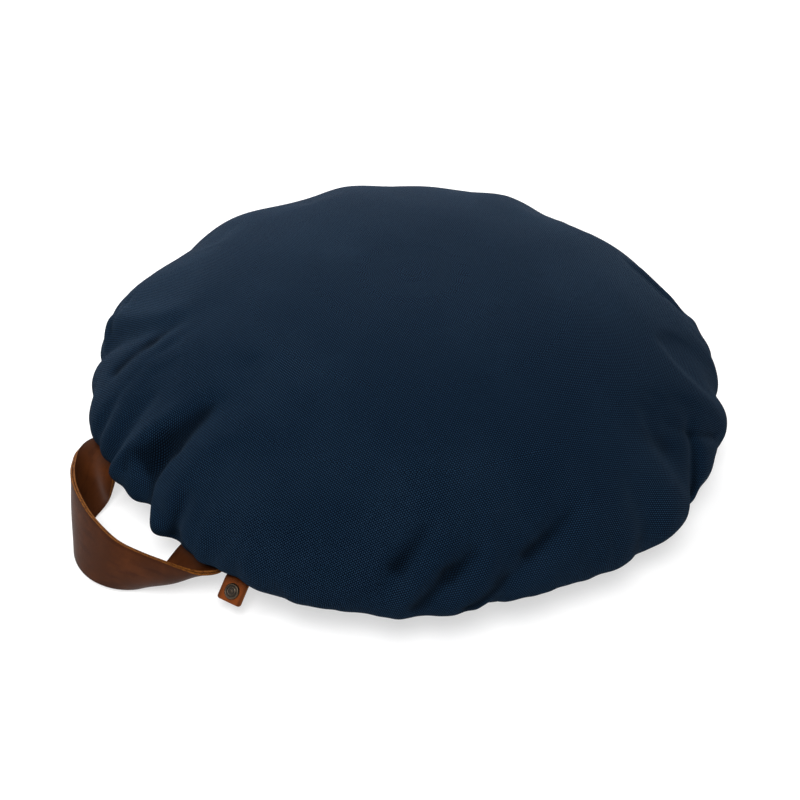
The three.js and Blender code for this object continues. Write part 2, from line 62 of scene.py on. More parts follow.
class Shade:
    """A node socket that stands in sums and products."""

    def __init__(self, bench: "Bench", socket: bpy.types.NodeSocket) -> None:
        """Keeps the socket and the bench on which its sums are built."""
        self.bench = bench
        self.socket = socket

    def _math(self, operation: str, *values: "Shade | float") -> "Shade":
        """Adds one Math node over the values."""
        return self.bench.add("ShaderNodeMath", {"operation": operation}, dict(enumerate(values)))

    def __add__(self, other: "Shade | float") -> "Shade":
        """This value plus another."""
        return self._math("ADD", self, other)

    __radd__ = __add__

    def __sub__(self, other: "Shade | float") -> "Shade":
        """This value minus another."""
        return self._math("SUBTRACT", self, other)

    def __rsub__(self, other: float) -> "Shade":
        """A number minus this value."""
        return self._math("SUBTRACT", other, self)

    def __mul__(self, other: "Shade | float") -> "Shade":
        """This value times another."""
        return self._math("MULTIPLY", self, other)

    __rmul__ = __mul__

    def __truediv__(self, other: "Shade | float") -> "Shade":
        """This value over another."""
        return self._math("DIVIDE", self, other)

    def __rtruediv__(self, other: float) -> "Shade":
        """A number over this value."""
        return self._math("DIVIDE", other, self)

    def __pow__(self, other: "Shade | float") -> "Shade":
        """This value raised to a power."""
        return self._math("POWER", self, other)

    def __abs__(self) -> "Shade":
        """The size of this value without its sign."""
        return self._math("ABSOLUTE", self)

    def above(self, limit: "Shade | float") -> "Shade":
        """One where this value is over the limit, and nothing elsewhere."""
        return self._math("GREATER_THAN", self, limit)

    def sine(self) -> "Shade":
        """Sine of this value in radians."""
        return self._math("SINE", self)

    def floor(self) -> "Shade":
        """The whole number below this value."""
        return self._math("FLOOR", self)

    def ramp(self, low: float, high: float) -> "Shade":
        """Smooth step of this value.

        Args:
            low: Value at which the step starts from nothing.
            high: Value at which it reaches one; it may be under low.

        Returns:
            A value from nothing to one.
        """
        span = {"From Min": low, "From Max": high, "Value": self}
        return self.bench.add("ShaderNodeMapRange", {"interpolation_type": "SMOOTHSTEP"}, span)


class Bench:
    """The nodes of one material."""

    def __init__(self, name: str) -> None:
        """Starts an empty material with its Principled shader and output.

        Args:
            name: The material's name.
        """
        self.material = bpy.data.materials.new(name)
        self.material.use_nodes = True
        self.tree = self.material.node_tree
        self.tree.nodes.clear()
        output = self.tree.nodes.new("ShaderNodeOutputMaterial")
        self.shader = self.tree.nodes.new("ShaderNodeBsdfPrincipled")
        self.tree.links.new(self.shader.outputs["BSDF"], output.inputs["Surface"])

    def add(
        self,
        kind: str,
        settings: Mapping[str, object] | None = None,
        sockets: "Mapping[str | int, Shade | float | Sequence[float]] | None" = None,
        out: str | int = 0,
    ) -> Shade:
        """Adds one node.

        Args:
            kind: The node's type.
            settings: What is set on the node before its sockets.
            sockets: Values or links of its inputs, by name or number.
            out: Name or number of the output that is wanted.

        Returns:
            The wanted output.
        """
        node = self.tree.nodes.new(kind)
        for name, value in (settings or {}).items():
            setattr(node, name, value)
        for name, value in (sockets or {}).items():
            self.plug(node.inputs[name], value)
        return Shade(self, node.outputs[out])

    def plug(
        self, socket: bpy.types.NodeSocket, value: "Shade | float | Sequence[float]"
    ) -> None:
        """Links a socket or sets its value.

        Args:
            socket: The input.
            value: What it is linked to, or its plain value.
        """
        if isinstance(value, Shade):
            self.tree.links.new(value.socket, socket)
        elif socket.type == "RGBA" and len(value) == 3:
            socket.default_value = (*value, 1.0)
        else:
            socket.default_value = value

    def attribute(self, name: str, out: str = "Fac") -> Shade:
        """Reads a point attribute of the mesh."""
        return self.add("ShaderNodeAttribute", {"attribute_name": name}, out=out)

    def parts(self, vector: Shade) -> tuple[Shade, Shade, Shade]:
        """Splits a vector.

        Args:
            vector: The vector.

        Returns:
            Its three values.
        """
        split = self.add("ShaderNodeSeparateXYZ", sockets={"Vector": vector})
        outputs = split.socket.node.outputs
        return Shade(self, outputs[0]), Shade(self, outputs[1]), Shade(self, outputs[2])

    def join(self, x: Shade | float, y: Shade | float, z: Shade | float = 0.0) -> Shade:
        """Joins three values into a vector."""
        return self.add("ShaderNodeCombineXYZ", sockets={"X": x, "Y": y, "Z": z})

    def place(self) -> Shade:
        """The object's own coordinates, in metres."""
        return self.add("ShaderNodeTexCoord", out="Object")

    def noise(self, vector: Shade, scale: float, detail: float = 2.0, rough: float = 0.5) -> Shade:
        """Smooth noise from nothing to one.

        Args:
            vector: Where it is read.
            scale: Features per unit of the vector.
            detail: How many finer layers are added.
            rough: Weight of the finer layers.

        Returns:
            The noise value.
        """
        sockets = {"Vector": vector, "Scale": scale, "Detail": detail, "Roughness": rough}
        return self.add("ShaderNodeTexNoise", {"noise_dimensions": "3D"}, sockets)

    def cells(self, vector: Shade, scale: float) -> Shade:
        """Distance from the middle of the nearest grain cell."""
        sockets = {"Vector": vector, "Scale": scale}
        return self.add("ShaderNodeTexVoronoi", {"feature": "F1"}, sockets)

    def mix(self, factor: Shade | float, first: Shade | Colour, second: Shade | Colour) -> Shade:
        """Mixes two colours.

        Args:
            factor: Share of the second colour.
            first: Colour at nothing.
            second: Colour at one.

        Returns:
            The mixed colour.
        """
        sockets = {"Factor": factor, 6: first, 7: second}
        return self.add("ShaderNodeMix", {"data_type": "RGBA"}, sockets, out=2)

    def shaded(self, colour: Shade | Colour, factor: Shade) -> Shade:
        """Multiplies a colour by a value.

        Args:
            colour: The colour.
            factor: How bright it stays.

        Returns:
            The darker or brighter colour.
        """
        settings = {"data_type": "RGBA", "blend_type": "MULTIPLY"}
        sockets = {"Factor": 1.0, 6: colour, 7: self.join(factor, factor, factor)}
        return self.add("ShaderNodeMix", settings, sockets, out=2)

    def bump(self, height: Shade, distance: float, strength: float) -> Shade:
        """Turns a height into a normal.

        Args:
            height: Height from nothing to one.
            distance: Real depth of the relief, in metres.
            strength: How much of it shows.

        Returns:
            The normal.
        """
        sockets = {"Height": height, "Distance": distance, "Strength": strength}
        return self.add("ShaderNodeBump", sockets=sockets)

    def finish(
        self, constants: Mapping[str, object], links: Mapping[str, Shade]
    ) -> bpy.types.Material:
        """Sets the Principled shader.

        Args:
            constants: Values that are the same all over.
            links: What varies over the surface.

        Returns:
            The finished material.
        """
        for name, value in {**constants, **links}.items():
            self.plug(self.shader.inputs[name], value)
        return self.material


# Finishes


@dataclass(frozen=True)
class NavyWeave:
    """Coarse ribbed plain weave in cotton, dyed navy. The cover's attributes count its threads."""

    rib: Colour = (0.0090, 0.0262, 0.0545)
    between: Colour = (0.0010, 0.0052, 0.0155)
    faded: Colour = (0.0240, 0.0530, 0.0960)
    hollow_shade: float = 0.03
    # Painted shade: share by which the colour is darkened at the bottom of the finer creases.
    crease_shade: float = 0.55
    relief: float = 0.00050
    relief_strength: float = 0.8
    roughness: float = 0.94
    sheen: float = 0.04
    sheen_tint: Colour = (0.34, 0.55, 0.85)
    specular: float = 0.02

    def _threads(self, bench: Bench) -> Shade:
        """Picks the thread grid of the upper or the lower panel.

        Args:
            bench: The material's nodes.

        Returns:
            The thread count across the fine threads and across the ribs, as a vector.
        """
        over = bench.attribute("threads_over", "Vector")
        under = bench.attribute("threads_under", "Vector")
        below_seam = 1.0 - bench.attribute("above_seam").above(0.0)
        sockets = {"Factor": below_seam, 4: over, 5: under}
        return bench.add("ShaderNodeMix", {"data_type": "VECTOR"}, sockets, out=1)

    def material(self) -> bpy.types.Material:
        """Builds the cloth's material.

        Returns:
            The material.
        """
        bench = Bench("navy_weave")
        grid = self._threads(bench)
        u, v, _ = bench.parts(grid)
        drift = bench.noise(grid, 0.030, 1.0) - 0.5
        waver = bench.noise(bench.join(v, u), 0.16, 1.0) - 0.5
        u = u + 1.6 * drift + 0.25 * waver
        v = v - 0.8 * drift + 0.16 * waver
        across_fine = (u * math.pi).sine()
        across_rib = (v * math.pi).sine()
        rib_on_top = (across_fine * across_rib).above(0.0)
        crown = abs(across_rib) ** 0.7 * (0.40 + 0.60 * abs(across_fine))
        yarn = bench.noise(bench.join(u * 0.35, v.floor()), 1.0, 3.0, 0.6)
        height = crown * (0.50 + 0.50 * rib_on_top) * (0.76 + 0.48 * yarn)
        fibre = bench.noise(grid, 4.5, 3.0, 0.7)
        tone = bench.mix(rib_on_top, self.between, self.rib)
        cloud = bench.noise(bench.place(), 9.0, 4.0, 0.6).ramp(0.40, 0.72)
        specks = yarn.ramp(0.52, 0.78) * rib_on_top
        tone = bench.mix(cloud * 0.16 + specks * 0.55, tone, self.faded)
        light = self.hollow_shade + (1.0 - self.hollow_shade) * height.ramp(0.05, 0.75)
        # Painted shade: the colour is darkened by the depth of the finer creases, where shade
        # falls.
        painted_crease_shade = 1.0 - self.crease_shade * bench.attribute("in_crease").ramp(0.15, 0.95)
        tone = bench.shaded(tone, light * (0.75 + 0.50 * fibre) * painted_crease_shade)
        rough = self.roughness + 0.10 * fibre - 0.06 * height
        relief = height + 0.16 * fibre
        return bench.finish(
            {
                "Specular IOR Level": self.specular,
                "Sheen Weight": self.sheen,
                "Sheen Roughness": 0.42,
                "Sheen Tint": (*self.sheen_tint, 1.0),
            },
            {
                "Base Color": tone,
                "Roughness": rough,
                "Normal": bench.bump(relief, self.relief, self.relief_strength),
            },
        )


@dataclass(frozen=True)
class OiledLeather:
    """Tan-brown pull-up leather with paler cut edges.

    The strips carry cut_edge, one on the cut and nothing on the faces, and run, the place along
    and across the strip in metres.
    """

    name: str
    face: Colour = (0.0430, 0.0120, 0.0033)
    pale: Colour = (0.0680, 0.0185, 0.0045)
    deep: Colour = (0.0250, 0.0068, 0.0021)
    cut: Colour = (0.1600, 0.0540, 0.0080)
    half_width: float = 0.0225
    roughness: float = 0.50
    specular: float = 0.06
    coat: float = 0.02
    grain: float = 0.00012

    def material(self) -> bpy.types.Material:
        """Builds the leather's material.

        Returns:
            The material.
        """
        bench = Bench(self.name)
        place = bench.place()
        along, across, _ = bench.parts(bench.attribute("run", "Vector"))
        edge = bench.attribute("cut_edge")
        cloud = bench.noise(place, 26.0, 4.0, 0.6)
        drawn = bench.noise(bench.join(along * 0.25, across), 140.0, 3.0, 0.6)
        pores = bench.cells(place, 1900.0)
        wrinkle = bench.noise(place, 420.0, 3.0, 0.65)
        tone = bench.mix(cloud.ramp(0.38, 0.70), self.face, self.pale)
        tone = bench.mix((drawn.ramp(0.52, 0.30)) * 0.55, tone, self.deep)
        near_edge = abs(across).ramp(self.half_width - 0.0042, self.half_width - 0.0006)
        tone = bench.mix(near_edge * (0.25 + 0.40 * drawn), tone, self.deep)
        cut_tone = bench.mix(wrinkle.ramp(0.35, 0.75), self.cut, self.face)
        tone = bench.mix(edge.ramp(0.25, 0.75), tone, cut_tone)
        tone = bench.shaded(tone, 0.86 + 0.28 * wrinkle)
        rough = self.roughness + 0.16 * (wrinkle - 0.5) + 0.28 * edge - 0.08 * cloud
        height = 0.55 * pores.ramp(0.0, 0.62) + 0.45 * wrinkle + 0.25 * drawn
        return bench.finish(
            {"Specular IOR Level": self.specular, "Coat Roughness": 0.45},
            {
                "Base Color": tone,
                "Roughness": rough,
                "Coat Weight": self.coat * (1.0 - edge),
                "Normal": bench.bump(height, self.grain, 0.55),
            },
        )


@dataclass(frozen=True)
class AgedBronze:
    """Dark bronze, worn brighter on its crests. The cap carries crest, one on its raised rings."""

    dark: Colour = (0.026, 0.020, 0.015)
    worn: Colour = (0.085, 0.064, 0.045)
    grime: Colour = (0.014, 0.011, 0.009)

    def material(self) -> bpy.types.Material:
        """Builds the metal's material.

        Returns:
            The material.
        """
        bench = Bench("aged_bronze")
        place = bench.place()
        crest = bench.attribute("crest")
        patches = bench.noise(place, 900.0, 4.0, 0.65)
        scratches = bench.noise(place, 4200.0, 2.0, 0.7)
        wear = (crest * 0.75 + patches * 0.55 - 0.30).ramp(0.10, 0.70)
        tone = bench.mix(wear, self.dark, self.worn)
        tone = bench.mix((patches.ramp(0.52, 0.36)) * (1.0 - crest), tone, self.grime)
        rough = 0.50 - 0.16 * wear + 0.14 * scratches
        height = patches + 0.5 * scratches
        return bench.finish(
            {"Specular IOR Level": 0.5},
            {
                "Base Color": tone,
                "Metallic": 0.72 + 0.22 * wear,
                "Roughness": rough,
                "Normal": bench.bump(height, 0.00012, 0.45),
            },
        )


@dataclass(frozen=True)
class PaleFloor:
    """Plain studio floor in mid grey, with an even glow that keeps it near white in the shadow."""

    tone: Colour = (0.42, 0.42, 0.42)
    speck: Colour = (0.41, 0.41, 0.413)
    glow: float = 0.62

    def material(self) -> bpy.types.Material:
        """Builds the floor's material.

        Returns:
            The material.
        """
        bench = Bench("pale_floor")
        cloud = bench.noise(bench.place(), 3.0)
        return bench.finish(
            {
                "Specular IOR Level": 0.1,
                "Roughness": 0.9,
                "Emission Color": (1.0, 1.0, 1.0, 1.0),
                "Emission Strength": self.glow,
            },
            {"Base Color": bench.mix(cloud, self.tone, self.speck)},
        )


# Mesh helpers


def unit(vectors: np.ndarray) -> np.ndarray:
    """Scales vectors to length one."""
    return vectors / np.maximum(np.linalg.norm(vectors, axis=-1, keepdims=True), 1e-12)


def make_mesh(
    name: str, points: np.ndarray, faces: Sequence[Sequence[int]], smooth: bool = True
) -> bpy.types.Object:
    """Makes a mesh object from points in millimetres.

    Args:
        name: The object's name.
        points: One row per point.
        faces: Point numbers of each face.
        smooth: Whether its faces are shaded smooth.

    Returns:
        The object, in the scene.
    """
    mesh = bpy.data.meshes.new(name)
    mesh.from_pydata((points * MM).tolist(), [], [list(face) for face in faces])
    mesh.validate()
    mesh.polygons.foreach_set("use_smooth", [smooth] * len(mesh.polygons))
    mesh.update()
    made = bpy.data.objects.new(name, mesh)
    bpy.context.scene.collection.objects.link(made)
    return made


def write_values(mesh: bpy.types.Mesh, name: str, values: np.ndarray) -> None:
    """Stores a value or a vector at each point.

    Args:
        mesh: The mesh.
        name: The attribute's name.
        values: One number or one row of three per point.
    """
    is_vector = values.ndim == 2
    kind = "FLOAT_VECTOR" if is_vector else "FLOAT"
    layer = mesh.attributes.get(name) or mesh.attributes.new(name, kind, "POINT")
    key = "vector" if is_vector else "value"
    layer.data.foreach_set(key, np.ascontiguousarray(values, np.float32).ravel())


def read_points(mesh: bpy.types.Mesh) -> np.ndarray:
    """Reads the mesh's points.

    Args:
        mesh: The mesh.

    Returns:
        One row per point, in metres.
    """
    points = np.empty(len(mesh.vertices) * 3, np.float32)
    mesh.vertices.foreach_get("co", points)
    return points.reshape(-1, 3).astype(float)


def write_points(mesh: bpy.types.Mesh, points: np.ndarray) -> None:
    """Moves the mesh's points."""
    mesh.vertices.foreach_set("co", points.astype(np.float32).ravel())
    mesh.update()


def apply_modifiers(made: bpy.types.Object) -> None:
    """Replaces an object's mesh by what its modifiers make of it.

    Args:
        made: The object.
    """
    depsgraph = bpy.context.evaluated_depsgraph_get()
    mesh = bpy.data.meshes.new_from_object(made.evaluated_get(depsgraph), depsgraph=depsgraph)
    made.modifiers.clear()
    made.data = mesh


def bell(x: np.ndarray) -> np.ndarray:
    """Soft hump of height one at nothing."""
    return np.exp(-x * x)


def turn_between(a: np.ndarray, b: float) -> np.ndarray:
    """Signed difference of two places round the rim, in degrees."""
    return np.mod(a - b + 180.0, 360.0) - 180.0


# Cover of the cushion


@dataclass(frozen=True)
class Swell:
    """A swell of the stuffing, or a hollow where the rise is negative."""

    name: str
    deg: float
    up: float
    round: float
    tall: float
    rise: float

    def height(self, deg: np.ndarray, up: np.ndarray, radius: np.ndarray) -> np.ndarray:
        """How far it stands out at each point."""
        across = np.radians(turn_between(deg, self.deg)) * radius
        return self.rise * bell(across / self.round) * bell((up - self.up) / self.tall)


@dataclass(frozen=True)
class Fold:
    """A fold of the cloth between two places (deg, up), deepest at its lower end.

    wide is the half width of its trough and deep its depth, negative for a ridge. sharp under 2
    gives a creased bottom.
    """

    name: str
    start: tuple[float, float]
    end: tuple[float, float]
    wide: float
    deep: float
    sharp: float = 2.0

    def depth(self, deg: np.ndarray, up: np.ndarray, radius: np.ndarray) -> np.ndarray:
        """Depth of the fold at each point.

        Args:
            deg: Places round the rim.
            up: Places above the seam.
            radius: Distances from the middle of the cushion.

        Returns:
            The depths in millimetres.
        """
        end_x = math.radians(float(turn_between(np.array(self.end[0]), self.start[0]))) * radius
        end_y = self.end[1] - self.start[1]
        x = np.radians(turn_between(deg, self.start[0])) * radius
        y = up - self.start[1]
        along = np.clip((x * end_x + y * end_y) / (end_x * end_x + end_y * end_y), 0.0, 1.0)
        away = np.hypot(x - end_x * along, y - end_y * along)
        upper_share = 0.45
        falloff = np.exp(-np.power(away / self.wide, self.sharp))
        return self.deep * (upper_share + (1.0 - upper_share) * along) * falloff


# name, place round the rim, place above the seam, reach along the rim, reach across it, rise
SWELLS = (
    Swell("back left shoulder", 160, 112, 34, 60, 6),
    Swell("back middle", 140, 112, 40, 60, 2),
    Swell("back right shoulder", 119, 108, 30, 60, 6),
    Swell("far left shoulder", 189, 96, 40, 55, 6),
    Swell("left shoulder", 219, 55, 30, 45, 6),
    Swell("left rim", 228, 34, 20, 40, 4),
    Swell("left rim swell", 249, 26, 20, 34, 2),
    Swell("drawn in at the left handle end", 261, 16, 14, 30, -5),
    Swell("drawn in at the handle", 276, 12, 60, 46, -5),
    Swell("lobe left of the deep crease", 266, 18, 11, 22, -2),
    Swell("lobe right of the deep crease", 278, 16, 9, 22, 6),
    Swell("drawn in at the tab", 296, 10, 16, 26, -4),
    Swell("front hollow", 320, 16, 40, 44, -2),
    Swell("front right flat", 345, 16, 48, 44, -7),
    Swell("tucked under at the front", 322, -25, 200, 20, -19),
    Swell("right front swell", 14, 26, 24, 34, 5),
    Swell("right rim swell", 40, 28, 30, 36, 5),
    Swell("right back rim", 60, 46, 34, 46, 3),
    Swell("right back shoulder", 90, 90, 40, 50, 3),
)

# name, upper end, lower end, half width, depth
FOLDS = (
    Fold("deep crease by the handle, upper", (274, 132), (270, 74), 15, 7),
    Fold("deep crease by the handle, lower", (270, 78), (273.5, 14), 10, 10),
    Fold("ridge left of the deep crease", (267, 100), (264, 30), 10, -6),
    Fold("ridge right of the deep crease", (280, 110), (279, 52), 12, -3),
    Fold("trough left of the ridge", (259, 92), (261, 30), 9, 7),
    Fold("long trough at the left", (243, 142), (232, 40), 12, 6),
    Fold("ridge above the long trough", (236, 120), (226, 48), 12, -4),
    Fold("groove along the left rim", (217, 52), (231, 24), 7, 4),
    Fold("short crease by the handle", (282, 60), (282, 18), 7, 6),
    Fold("pinch right of the short crease", (278, 38), (286, 16), 6, 4),
    Fold("pinch at the handle end", (254, 44), (255, 8), 7, 4),
    Fold("pinch right of the handle", (291, 34), (290, 6), 7, 3),
    Fold("pinch past the tab", (302, 36), (303, 8), 9, 1),
    Fold("soft front trough", (327, 88), (320, 42), 11, 4),
    Fold("front fold, upper", (336, 72), (329, 38), 9, 6),
    Fold("front fold, lower", (329, 40), (326, 20), 8, 1.5),
    Fold("ridge beside the front fold", (330, 76), (323, 34), 9, -3),
    Fold("front notch", (342, 50), (337, 12), 8, 8),
    Fold("front right fold", (353, 82), (344, 50), 10, 5),
    Fold("front right pinch", (354, 40), (356, 6), 9, 3),
    Fold("soft fold at the right front", (8, 54), (5, 12), 12, 4),
    Fold("soft hollow at the right", (17, 104), (22, 52), 24, 3),
    Fold("overlapping fold at the right", (31, 66), (19, 16), 7, 7),
    Fold("thin crease at the right", (25, 86), (37, 24), 6, 4),
    Fold("right pinch", (47, 44), (50, 6), 9, 4),
    Fold("slit at the right back", (80, 98), (68, 62), 8, 7),
    Fold("ridge over the slit", (80, 84), (66, 50), 9, -3),
    Fold("back pinch, right", (96, 60), (98, 6), 12, 5),
    Fold("back pinch, right middle", (117, 74), (112, 6), 12, 6),
    Fold("back pinch, middle", (137, 52), (139, 6), 14, 4),
    Fold("back pinch, left middle", (158, 70), (154, 6), 13, 6),
    Fold("back pinch, left", (172, 84), (176, 6), 12, 6),
    Fold("left back pinch", (197, 82), (200, 6), 11, 5),
    Fold("underside fold by the handle", (268, -40), (271, 0), 10, 6),
    Fold("underside fold at the front", (336, -36), (333, 0), 10, 4),
    Fold("underside fold at the right", (18, -34), (20, 0), 10, 4),
    Fold("underside fold at the back", (114, -38), (112, 0), 12, 4),
    Fold("underside fold at the left", (203, -36), (200, 0), 12, 4),
)

# Finer creases that only this cover shows, with the same columns
CREASES = (
    Fold("bottom of the deep crease, upper", (272.6, 129), (272.2, 84), 7.5, 3.2, 1.6),
    Fold("bottom of the deep crease, middle", (272.2, 88), (270.6, 60), 7.5, 3.8, 1.6),
    Fold("bottom of the deep crease, lower", (271, 64), (275.5, 18), 6.0, 3.8, 1.4),
    Fold("hollow left of the deep crease", (271.5, 118), (267.6, 62), 9.0, 2.4, 2.0),
    Fold("bottom of the short crease", (281.2, 60), (281.2, 16), 4.5, 2.8, 1.5),
    Fold("pinch left of the deep crease", (265, 62), (266.6, 42), 4.5, 1.7, 1.6),
    Fold("bottom of the soft front trough", (326.4, 90), (321.4, 58), 8.0, 2.8, 1.8),
    Fold("bottom of the front fold, upper", (334.8, 68), (330, 52), 7.0, 3.0, 1.7),
    Fold("bottom of the front fold, lower", (330, 54), (325, 26), 6.5, 3.0, 1.7),
    Fold("bottom of the front notch", (340, 44), (333, 20), 6.0, 4.2, 1.5),
    Fold("bottom of the front right fold", (353.5, 80), (344, 58), 7.0, 3.0, 1.7),
    Fold("soft hollow past the front right fold", (8, 44), (4, 28), 10.0, 1.8, 2.0),
    Fold("bottom of the overlap at the right", (30, 58), (22, 22), 4.5, 3.2, 1.4),
    Fold("bottom of the thin crease", (26, 84), (35.5, 34), 4.0, 2.0, 1.5),
    Fold("soft hollow above the thin crease", (16, 106), (21, 78), 12.0, 1.8, 2.0),
    Fold("bottom of the slit", (77, 108), (68.8, 86), 3.8, 2.6, 1.3),
    Fold("trough under the left ridge, upper", (241.2, 138), (243.6, 108), 7.0, 2.2, 1.8),
    Fold("trough under the left ridge, lower", (243.6, 110), (245.2, 70), 7.5, 2.8, 1.8),
    Fold("bottom of the groove at the left rim", (222.4, 70), (229.6, 52), 4.5, 2.0, 1.5),
    Fold("drag line left of the handle", (250, 96), (256, 20), 5.0, 1.2, 1.6),
    Fold("drag line over the handle", (286, 92), (287, 22), 5.0, 0.9, 1.6),
    Fold("drag line by the tab", (296, 66), (295, 12), 4.5, 1.0, 1.6),
    Fold("drag line at the front left", (309, 58), (312, 12), 5.0, 0.9, 1.6),
    Fold("drag line at the front", (346, 96), (338, 44), 5.5, 1.0, 1.6),
    Fold("drag line at the right", (0, 60), (357, 14), 5.0, 1.1, 1.6),
    Fold("drag line at the right back", (60, 70), (56, 16), 5.5, 1.2, 1.6),
)


@dataclass
class PanelProfile:
    """Half section of the unfolded cover, read by the distance above the seam."""

    radius: float = 281.0
    height: float = 160.0
    rim_height: float = 48.0
    seam_height: float = 28.0
    seam_inset: float = 11.0
    foot_radius: float = 222.0
    rim_roundness: float = 2.5
    crown_roundness: float = 1.3
    rounding: float = 10.0

    def _lower(self) -> np.ndarray:
        """The profile from the edge of the flat underside to just under the seam.

        Returns:
            Rows of radius and height.
        """
        angle = np.pi / 2 * (1.0 - np.arange(60) / 60)
        reach = self.radius - self.seam_inset - self.foot_radius
        return np.column_stack(
            (self.foot_radius + reach * np.cos(angle), self.seam_height * (1.0 - np.sin(angle)))
        )

    def _upper(self) -> np.ndarray:
        """The profile from the seam round the rim and up to the crown.

        Returns:
            Rows of radius and height.
        """
        share = 1.0 - np.arange(12) / 12
        curl_z = self.rim_height + (self.seam_height - self.rim_height) * share
        curl = np.column_stack((self.radius - self.seam_inset * share * share, curl_z))
        angle = np.pi / 2 * np.arange(241) / 240
        r = self.radius * np.maximum(np.cos(angle), 0.0) ** (2 / self.rim_roundness)
        rise = (self.height - self.rim_height) * np.sin(angle) ** (2 / self.crown_roundness)
        return np.vstack((curl, np.column_stack((r, self.rim_height + rise))))

    @cached_property
    def line(self) -> np.ndarray:
        """The whole profile as rows of radius and height."""
        return np.vstack((self._lower(), self._upper()))

    @cached_property
    def lengths(self) -> np.ndarray:
        """Distance along the profile at each of its points."""
        steps = np.linalg.norm(np.diff(self.line, axis=0), axis=1)
        return np.concatenate(([0.0], np.cumsum(steps)))

    @property
    def below(self) -> float:
        """Length of the profile under the seam."""
        return float(self.lengths[60])

    @property
    def above(self) -> float:
        """Length of the profile over the seam."""
        return float(self.lengths[-1]) - self.below

    def at(self, up: np.ndarray) -> np.ndarray:
        """Radius and height at distances above the seam.

        Args:
            up: The distances; negative ones lie under the seam.

        Returns:
            One row of radius and height per distance, corners rounded by the stuffing.
        """
        total = np.zeros((*np.shape(up), 2))
        offsets = [k * self.rounding / 3 for k in (-3, -2, -1, 0, 1, 2, 3)]
        for offset in offsets:
            place = np.clip(self.below + up + offset, 0.0, self.lengths[-1])
            total[..., 0] += np.interp(place, self.lengths, self.line[:, 0])
            total[..., 1] += np.interp(place, self.lengths, self.line[:, 1])
        return total / len(offsets)

    def outward(self, up: np.ndarray) -> np.ndarray:
        """Direction out of the cloth.

        Args:
            up: Places above the seam.

        Returns:
            Rows of the direction's radial and upward parts.
        """
        probe = 1.5
        along = self.at(up + probe) - self.at(up - probe)
        return unit(np.column_stack((along[:, 1], -along[:, 0])))


